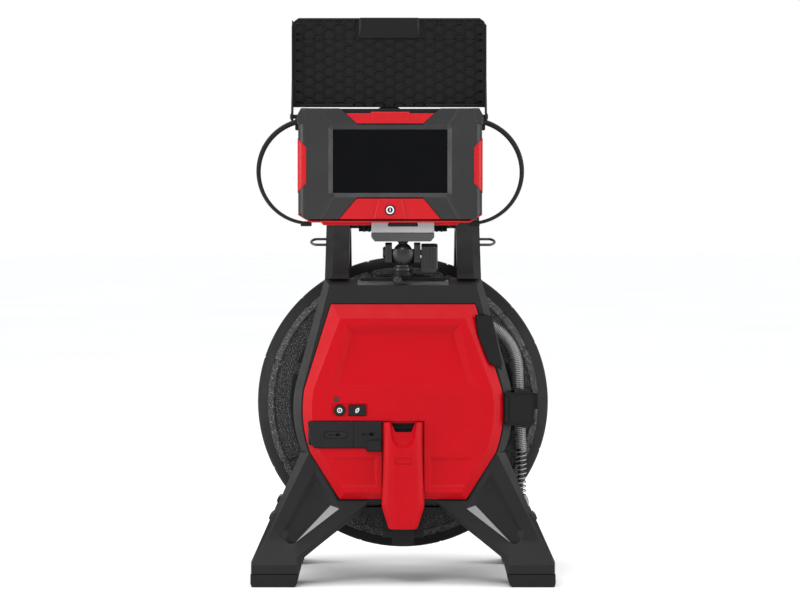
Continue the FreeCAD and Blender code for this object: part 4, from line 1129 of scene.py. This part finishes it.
def lever():
    """The red latch lever: a rounded blade with two prongs round a scooped finger grip."""
    rows = [(229.8, 27.0, 1.0), (224, 27.0, 1.0), (200, 27.1, 1.0), (180, 27.3, 1.0), (150, 28.4, 1.0),
            (116, 29.8, 1.0),
            (112, 29.8, 1.0), (98, 25.4, 0.98), (84, 20.9, 0.94), (81, 19.6, 0.86), (80.1, 17.0, 0.7)]
    section = [(-1.0, 0.0), (-1.0, 6.0), (-0.93, 9.2), (-0.80, 12.2), (-0.64, 14.3), (-0.46, 15.6),
               (-0.40, 15.9),
               (-0.2, 15.6), (0.0, 15.5), (0.2, 15.6), (0.40, 15.9), (0.46, 15.6), (0.64, 14.3),
               (0.80, 12.2), (0.93, 9.2),
               (1.0, 6.0), (1.0, 0.0)]
    bm = bmesh.new()
    skin(bm, [[bm.verts.new(point(half * u, -157.4 - v * thick, z)) for u, v in section] for z, half,
              thick in rows])
    blade = finish_mesh(bm, "latch_blade", RED, "latch", edge=0.7, steps=3, angle=24)
    # scoop between the prongs: a slanted U, with a flat dark mouth above it
    u = [(-21.4, 236), (-20.0, 226)] + [(-19.0 + 0.25 * k, 220 - 3.6 * k) for k in range(4)]
    u += through((-17.6, 204.5), (0.4, 190.4), (18.2, 204.5), 12)[1:-1]
    u += [(18.4 + 0.25 * k, 208.5 + 3.8 * k) for k in range(4)] + [(21.0, 226), (22.0, 236)]
    small = [(x * 0.80 + 0.08, 232.4 + (z - 236) * 0.86 + 3.6) for x, z in u]
    bm = bmesh.new()
    outer = [bm.verts.new(point(x, -178.0, z)) for x, z in u]
    inner = [bm.verts.new(point(x, -168.6 + 9.4 * max(0.0, (z - 196) / 40.0), z)) for x, z in small]
    skin(bm, [outer, inner], caps=False)
    bm.faces.new(outer)
    bmesh.ops.triangulate(bm, faces=[bm.faces.new(inner[::-1])])
    scoop = as_cutter(bm)
    mouth = [(-16.3, 240), (16.6, 240), (16.6, 228), (11.6, 215.8), (-10.6, 215.8), (-16.3, 228)]
    pill = rounded_loop(rect(-11.6, 12.6, 171.4, 180.4), 2.4, 4)
    groove = cutter((pill, -176), (inset_loop(pill, 0.3), -172.2))
    solid_knife(blade, [scoop, through_cut(mouth, -180, -150), groove])
    island = rounded_loop(rect(-10.3, 11.3, 172.7, 179.1), 1.6, 4)
    stack("latch_badge", raised(island, -171.0, -172.7, 0.4, -173.0), RED, "latch", edge=0.15)
    bm = bmesh.new()
    for sign in (-1, 1):
        a, b = sorted((sign * 16.1, sign * 19.8))
        ear = [(-159, 84), (-144, 84), (-142.2, 86.5), (-142.2, 97), (-150, 111), (-159, 117)]
        add_side_stack(bm, [(ear, a), (ear, b)])
    finish_mesh(bm, "latch_ears", RED, "latch", edge=0.5)
    return blade


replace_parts(lever(), "latch_lever")


def flap():
    outline = [(-133.4, 227.6), (-131.0, 230.6), (-29.6, 230.6), (-29.6, 189.0), (-50.0, 189.0),
               (-52.0, 193.6),
               (-123.6, 193.4), (-127.6, 196.6)]
    soft = rounded_loop(outline, [2, 2, 2.2, 1, 1, 1.5, 2, 2], 3)
    sheet = stack("port_flap_sheet", raised(soft, -152.4, -160.0, 0.9, -161.0), FLAP,
                  "port_flap", edge=0.5, steps=2)
    oval = rounded_loop(rect(-111.6, -76.8, 206.2, 217.8), 5.7, 6)
    crease = rect(-69.6, -68.6, 190, 232)
    solid_knife(sheet, [cutter((oval, -163), (inset_loop(oval, 0.8), -159.3)),
                        cutter((crease, -163), (crease, -160.3))])
    stack("port_flap_oval", [(inset_loop(oval, 0.9), -159.0), (inset_loop(oval, 0.9), -159.5)], DARK,
          "port_flap")
    tab = rounded_loop([(-50.0, 201.6), (-47.6, 204.4), (-30.0, 204.4), (-30.0, 189.4), (-47.0, 189.4),
                        (-50.0, 191.6)], 1.0, 3)
    stack("port_flap_tab", raised(tab, -160.4, -163.4, 0.9, -164.8), FLAP, "port_flap", edge=0.4)
    bm = bmesh.new()

    for cx, cz, k, y in ((-94.2, 212.0, 0.78, -159.62), (-47.0, 213.0, 0.9, -161.08)):
        # a plain plug and lead: left, right, low and high sides in steps of k
        for x0, x1, z0, z1 in ((-9, 1, -0.5, 0.5), (1, 6, -2.6, 2.6), (6.3, 8.6, 0.9, 1.7),
                               (6.3, 8.6, -1.7, -0.9)):
            print_face(bm, rect(cx + x0 * k, cx + x1 * k, cz + z0 * k, cz + z1 * k), y)
        print_face(bm, circle(cx - 10 * k, cz, 1.5 * k, 20), y)
    finish_mesh(bm, "port_flap_symbols", SYMBOL, "port_flap")
    bm = bmesh.new()
    add_rod(bm, (-130.8, -150.5, 197), (-130.8, -150.5, 226), [(0, 2.2), (1, 2.2)], 24)
    add_box(bm, -130.9, -128.0, -153.2, -151.0, 197, 226)
    for x0, x1, z0, z1 in ((-105.5, -92.5, 204.5, 217.5), (-65.5, -48.5, 205.5, 216.5)):
        add_box(bm, x0, x1, -152.5, -150.6, z0, z1)
    finish_mesh(bm, "port_flap_hinge_and_plugs", FLAP, "port_flap", edge=0.3)
    return sheet


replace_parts(flap(), "port_cover")


def hub_keys():
    cap = power_button(-88.6, 246.3, 7.5, -159.3, "hub_power_key", "hub_power_cap", ring=(0.32, 0.47))
    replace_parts(cap, "hub_power_button")
    key = rounded_loop(rect(-75.7, -52.1, 239.1, 253.5), 0.9, 3)
    zero = stack("zero_cap", raised(key, -152, -158.7, 0.6, -159.2), SOFT, "zero_key", edge=0.2)
    bm = bmesh.new()
    cx, cz = -63.9, 246.3
    turns = [2 * math.pi * i / 32 for i in range(32)]
    outer, inner = [[(cx + w * math.cos(a) + 0.25 * h * math.sin(a), cz + h * math.sin(a)) for a in turns]
                    for w, h in ((2.5, 3.3), (1.5, 2.2))]
    print_ring(bm, outer, inner, -159.25)
    slash = [(cx - 2.9, cz - 3.6), (cx - 2.3, cz - 3.6), (cx + 2.9, cz + 3.6), (cx + 2.3, cz + 3.6)]
    print_face(bm, slash, -159.27)
    finish_mesh(bm, "zero_print", PRINT, "zero_key")
    return zero


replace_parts(hub_keys(), "zero_button")


# ---- front frame and legs ----

RING_OUT = shield((110, 429.8), (151, 281), (154.3, 244), (142, 186), (97, 112))
RING_LIP = shield((103.2, 421.0), (140.6, 276), (142.8, 240), (132.2, 184.8), (89.6, 118.9))


def ring_frame():
    bm = bmesh.new()
    add_stack(bm, [(RING_OUT, -108.2), (RING_OUT, -136.5), (RING_LIP, -146.0)])
    frame_piece = finish_mesh(bm, "frame_ring", FRAME, "stand", edge=0.9, steps=3, angle=14)
    hole = shield((101.9, 395.6), (139.8, 275.4), (142.0, 240), (131.4, 185.4), (89.4, 119.4))
    # the shelf between the posts slopes up to the back
    xs = 70.0
    knives = [through_cut(hole, -152, -141.6), through_cut(rect(-64, 64, 172, 334), -150, -100),
              pocket([(-xs, -152, 421.4), (xs, -152, 421.4), (xs, -152, 445), (-xs, -152, 445)],
                     [(-xs + 6, -145.0, 421.4), (xs - 6, -145.0, 421.4), (xs, -145.0, 445),
                      (-xs, -145.0, 445)],
                     [(-xs + 6, -100, 429.2), (xs - 6, -100, 429.2), (xs, -100, 445), (-xs, -100, 445)]),
              through_cut(inset_loop(EXIT, -0.6), -150, -141.6),
              through_cut(rect(-16, 16, 100, 122), -150, -138.8)]
    solid_knife(frame_piece, knives)
    bm = bmesh.new()
    # shelf ledge behind the frame
    add_box(bm, -60, 60, -108.4, -96, 420, 431.5)
    finish_mesh(bm, "frame_ledge", FRAME, "stand", edge=0.8)
    return frame_piece


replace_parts(ring_frame(), "front_frame")


def leg_depth(z):
    """How far the leg's front face leans out at a height, in mm."""
    if z >= 130:
        return 0.0
    if z >= 62:
        return (130 - z) / 68.0 * 14.0
    if z >= 30:
        return 14.0 + (62 - z) / 32.0 * 14.0
    return 28.0


def lean(obj, sign):
    """Bends a flat leg mesh to the leg's side profile."""
    bm = bmesh.new()
    bm.from_mesh(obj.data)
    for z in (130, 62, 30):
        bmesh.ops.bisect_plane(bm, geom=bm.verts[:] + bm.edges[:] + bm.faces[:], plane_co=point(0, 0, z),
                               plane_no=(0, 0, 1), dist=1e-7)
    for v in bm.verts:
        if v.co.y * sign > 0.112:
            v.co.y += sign * leg_depth(v.co.z / MM) * MM
    bm.to_mesh(obj.data)
    bm.free()


def leg_mesh(side, front):
    """One leg. side is -1 for the left one, front is -1 for a front leg and 1 for a rear one."""
    tag = ("front" if front < 0 else "rear") + ("_left" if side < 0 else "_right")

    def place(loop):
        return [(-side * x, z) for x, z in loop]

    face = [(-131.6, 186.0), (-90.6, 118.9), (-46.0, 118.9), (-148.3, 40.2), (-147.0, 17.7), (-211.6, 17.7),
            (-211.6, 32.0), (-183.7, 81.0)]
    wide = [(-143.6, 187.0), (-88.0, 112.0), (-52.0, 107.4), (-140.2, 38.6), (-145.0, 17.7), (-212.8, 17.7),
            (-212.8, 32.2), (-180.6, 101.5)]
    if front > 0:
        face = [(x, min(z, 185)) for x, z in face]
    bm = bmesh.new()
    add_stack(bm, [(place(wide), front * 104), (place(wide), front * 137.0), (place(face), front * 146.0)])
    leg = finish_mesh(bm, tag + "_leg", FRAME, "stand", edge=0.9, steps=3, angle=16)
    rim = [(-123.4, 163.0), (-88.6, 107.9), (-151.4, 60.0), (-160, 58.5), (-167.2, 66.0), (-168.8, 77.0)]
    pit = [(-122.0, 144.0), (-101.9, 111.9), (-150.6, 62.4), (-156.4, 63.6), (-160.6, 69.0), (-161.6, 77.5)]
    solid_knife(leg, [cutter((place(rim), front * 150.0), (place(rim), front * 146.0),
                             (place(pit), front * 139.0))])
    lean(leg, front)
    if front < 0:
        bm = bmesh.new()
        y_top, y_low = front * 146.3, front * 139.4
        pts = [(-101.9, y_low, 111.5), (-89.4, y_top, 107.6), (-150.9, y_top, 60.9)]
        skin(bm, [[bm.verts.new(point(-side * x, y - leg_depth(z) - lift, z)) for x, y, z in pts]
                  for lift in (0, 0.5)])
        finish_mesh(bm, tag + "_reflector", SILVER, "stand", edge=0.12)
    # ribbed guard down the outer edge
    bm = bmesh.new()
    p, q = Vector((-184.4, 97.0)), Vector((-212.0, 34.5))
    along_edge = (q - p).normalized()
    out = Vector((along_edge.y, -along_edge.x))
    out = out if out.x < 0 else -out
    count = 26
    half = (q - p).length / count * 0.30
    for i in range(count + 1):
        c = p.lerp(q, i / count)
        a, b = c - along_edge * half, c + along_edge * half
        loop = [tuple(a - out * 5.0), tuple(a + out * 0.5), tuple(b + out * 0.5), tuple(b - out * 5.0)]
        y_front = front * (141.0 + leg_depth(c.y))
        add_stack(bm, [(place(loop), front * 112), (place(loop), y_front)])
    cap = [(-178.6, 100.5), (-183.6, 101.6), (-187.0, 98.6), (-188.8, 93.0), (-183.0, 90.0)]
    add_stack(bm, [(place(cap), front * 112), (place(cap), front * 147.5)])
    finish_mesh(bm, tag + "_guard", GUARD, "stand", edge=0.25)
    return leg


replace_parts(leg_mesh(-1, -1), "front_legs")
leg_mesh(1, -1)
leg_mesh(-1, 1)
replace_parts(leg_mesh(1, 1), "rear_legs")


def screw(bm, x, y, z, facing, r=3.4):
    """A sunk screw head with its hexagonal socket, facing -1 to the front or 1 to the back."""
    add_stack(bm, [(circle(x, z, r, 24), y - facing * 0.4), (circle(x, z, r, 24), y + facing * 0.9),
                   (circle(x, z, r * 0.86, 24), y + facing * 1.3)])
    add_stack(bm, [(circle(x, z, r * 0.5, 6), y + facing * 1.29),
                   (circle(x, z, r * 0.5, 6), y + facing * 1.36)], mat=1)


def rear_frame():
    bm = bmesh.new()
    add_stack(bm, [(RING_OUT, 96.3), (RING_OUT, 123.5), (RING_LIP, 132.0)])
    plate = finish_mesh(bm, "rear_plate", FRAME, "stand", edge=0.9, steps=3, angle=14)
    upper = [(-80, 398), (80, 398), (108, 306), (62, 306), (44, 334), (-44, 334), (-62, 306), (-108, 306)]
    hollows = [rounded_loop(upper, 5, 4)]
    hollows += [rounded_loop(rect(x0, x0 + 60, 218, 270), 6, 4) for x0 in (-126, 66)]
    hollows += [rounded_loop(low, 5, 4) for low in ([(-74, 140), (-14, 140), (-34, 186), (-98, 186)],
                                                    [(14, 140), (74, 140), (98, 186), (34, 186)])]
    knives = [cutter((loop, 136), (inset_loop(loop, 3.0), 127.4)) for loop in hollows]
    knives.append(through_cut(rect(-70, 70, 414, 445), 80, 140))
    solid_knife(plate, knives)
    bm = bmesh.new()
    spin(bm, [(40, 131.0), (52, 131.0), (52, 135.4), (50.4, 137.2), (43.0, 137.2), (41.2, 135.4),
              (40, 134)], steps=96)
    spin(bm, [(2, 131.0), (38.6, 131.0), (38.6, 134.2), (37.2, 135.6), (30, 135.6), (27.6, 133.8),
              (2, 133.8)], steps=96)
    for k in range(12):
        a = math.radians(30 * k + 15)
        c, s = math.cos(a), math.sin(a)
        loop = [(c * r - s * t, AX + s * r + c * t) for r, t in rect(54, 62, -2.2, 2.2)]
        add_stack(bm, raised(loop, 131, 134.2, 0.8, 135))
    finish_mesh(bm, "rear_axle_boss", FRAME, "stand", edge=0.6, steps=3)
    bm = bmesh.new()
    for k in range(3, 9):
        z = 316 + 8.6 * k
        half = 76 - 0.33 * (z - 306) * 0.9
        add_box(bm, -half, half, 127.0, 129.6, z, z + 2.6)
    for s in (-1, 1):
        for k in range(5):
            a, b = sorted((s * 72, s * 120))
            add_box(bm, a, b, 127.0, 129.6, 225 + 9.2 * k, 227.6 + 9.2 * k)
    finish_mesh(bm, "rear_ribs", FRAME, "stand", edge=0.7)
    bm = bmesh.new()
    for x, z in ((-96, 404), (96, 404), (-136, 300), (136, 300), (-138, 226), (138, 226), (-96, 132),
                 (96, 132)):
        screw(bm, x, 131.2 if abs(x) < 130 else 128.6, z, 1)
    finish_mesh(bm, "rear_screws", (GROUND, DARK), "stand", edge=0.2)
    return plate


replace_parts(rear_frame(), "rear_frame")


def monitor_back_details():
    bm = bmesh.new()
    port = rounded_loop(rect(MX + 46, MX + 104, 548, 580), 4, 4)
    add_stack(bm, raised(port, -106.4, -104.6, 1.4, -103.8))
    pad = rounded_loop(rect(MX - 108, MX - 46, 548, 622), 5, 4)
    add_stack(bm, raised(pad, -106.4, -105.0, 1.2, -104.4))
    for k in range(8):
        z = 554.5 + 8.3 * k
        add_box(bm, MX - 102, MX - 52, -104.6, -102.8, z, z + 3.0)
    finish_mesh(bm, "monitor_back_panels", BEZEL, "monitor", edge=0.5)
    bm = bmesh.new()
    for x in (MX - 112, MX + 112):
        for z in (526, 652):
            screw(bm, x, -106.6, z, 1, 3.0)
    finish_mesh(bm, "monitor_back_screws", (GROUND, DARK), "monitor", edge=0.2)
    bm = bmesh.new()
    outline = [(-127.6, 520), (-111.4, 512.6), (111.4, 512.6), (127.6, 520), (127.6, 657), (120.8, 667.4),
               (-120.8, 667.4), (-127.6, 657)]
    seam = inset_loop(about(outline), -0.9)
    add_stack(bm, [(seam, -133.4), (seam, -130.8)])
    finish_mesh(bm, "monitor_seam", DARK, "monitor", edge=0.3)


monitor_back_details()


def visor_back():
    bm = bmesh.new()
    y0, y1 = VISOR_Y0 + 2.9, VISOR_Y0 + 4.0
    for z0, z1 in ((680, 682.2), (760.5, 762.7), (771.5, 773.7), (789.5, 791.7)):
        add_box(bm, VX - 128, VX + 128, y0, y1, z0, z1)
    for x in (-128, -64, 0, 64, 128):
        add_box(bm, VX + x - 1.1, VX + x + 1.1, y0, y1, 680, 762.7)
        add_box(bm, VX + x - 1.1, VX + x + 1.1, y0, y1, 771.5, 791.7)
    add_rod(bm, (VX - 130, VISOR_Y0 + 2.6, 767), (VX + 130, VISOR_Y0 + 2.6, 767), [(0, 1.7), (1, 1.7)], 16)
    finish_mesh(bm, "visor_back_ribs", BLACK, "visor", edge=0.4)


visor_back()


def grip_rings():
    """Ribs of the rubber handle grip."""
    bm = bmesh.new()
    for k in range(17):
        x = -56 + 7 * k
        add_rod(bm, (x - 1.6, 0, 513), (x + 1.6, 0, 513), [(0, 16.4), (0.25, 17.3), (0.75, 17.3),
                                                           (1, 16.4)], 40)
    finish_mesh(bm, "handle_grip_ribs", SOFT, "stand", angle=40)


grip_rings()

# ---- CAD nodes that stay: material and softened edges, in mm ----

KEEP = (
    (BLACK, 1.5, "handle_arms"),
    (BLACK, 1.0, "latch_keel cable_exit_cover drum_bearing_housing battery_case"),
    (BLACK, 0.8, "head_dock cable_clip_base hub_housing cable_clip_door"),
    (BLACK, 0.6, "cable_exit_guide latch_bracket"),
    (BLACK, 0.4, "mount_base"), (BLACK, 0.3, "visor_pins"), (BEZEL, 1.2, "monitor_back"),
    (SOFT, 1.5, "front_feet rear_feet"), (SOFT, 1.0, "handle_grip"), (RED, 1.0, "battery_base"),
    (RED, 0.3, "battery_button_right battery_button_left"), (LED_OFF, 0.3, "status_light"),
    (GROUND, 0.5, "drum_axle"), (GROUND, 0, "bearing_inner_races bearing_outer_races latch_pin"),
    (CAST, 0, "handle_bar"),
    (STEEL, 0.5, "camera_head"), (STEEL, 0, "port_sockets"), (WIRE, 0, "strap_rings"),
    (WINDOW, 0, "head_window"),
    (DARK, 0.5, "slip_ring_rotor"), (DARK, 0.3, "slip_ring_stator"), (CABLE, 0, "push_cable_lead"),
    (BOARD, 0, "hub_circuit_board"),
)
for mat, width, names in KEEP:
    for name in names.split():
        node = NODES[name]
        if node.material_slots:
            for each in node.material_slots:
                each.material = mat
        else:
            node.data.materials.append(mat)
        if width:
            # merge the flat triangles back into faces, so that only real edges are rounded
            flat = node.modifiers.new("flat", "DECIMATE")
            flat.decimate_type = "DISSOLVE"
            flat.angle_limit = math.radians(0.6)
            round_edges(node, width)
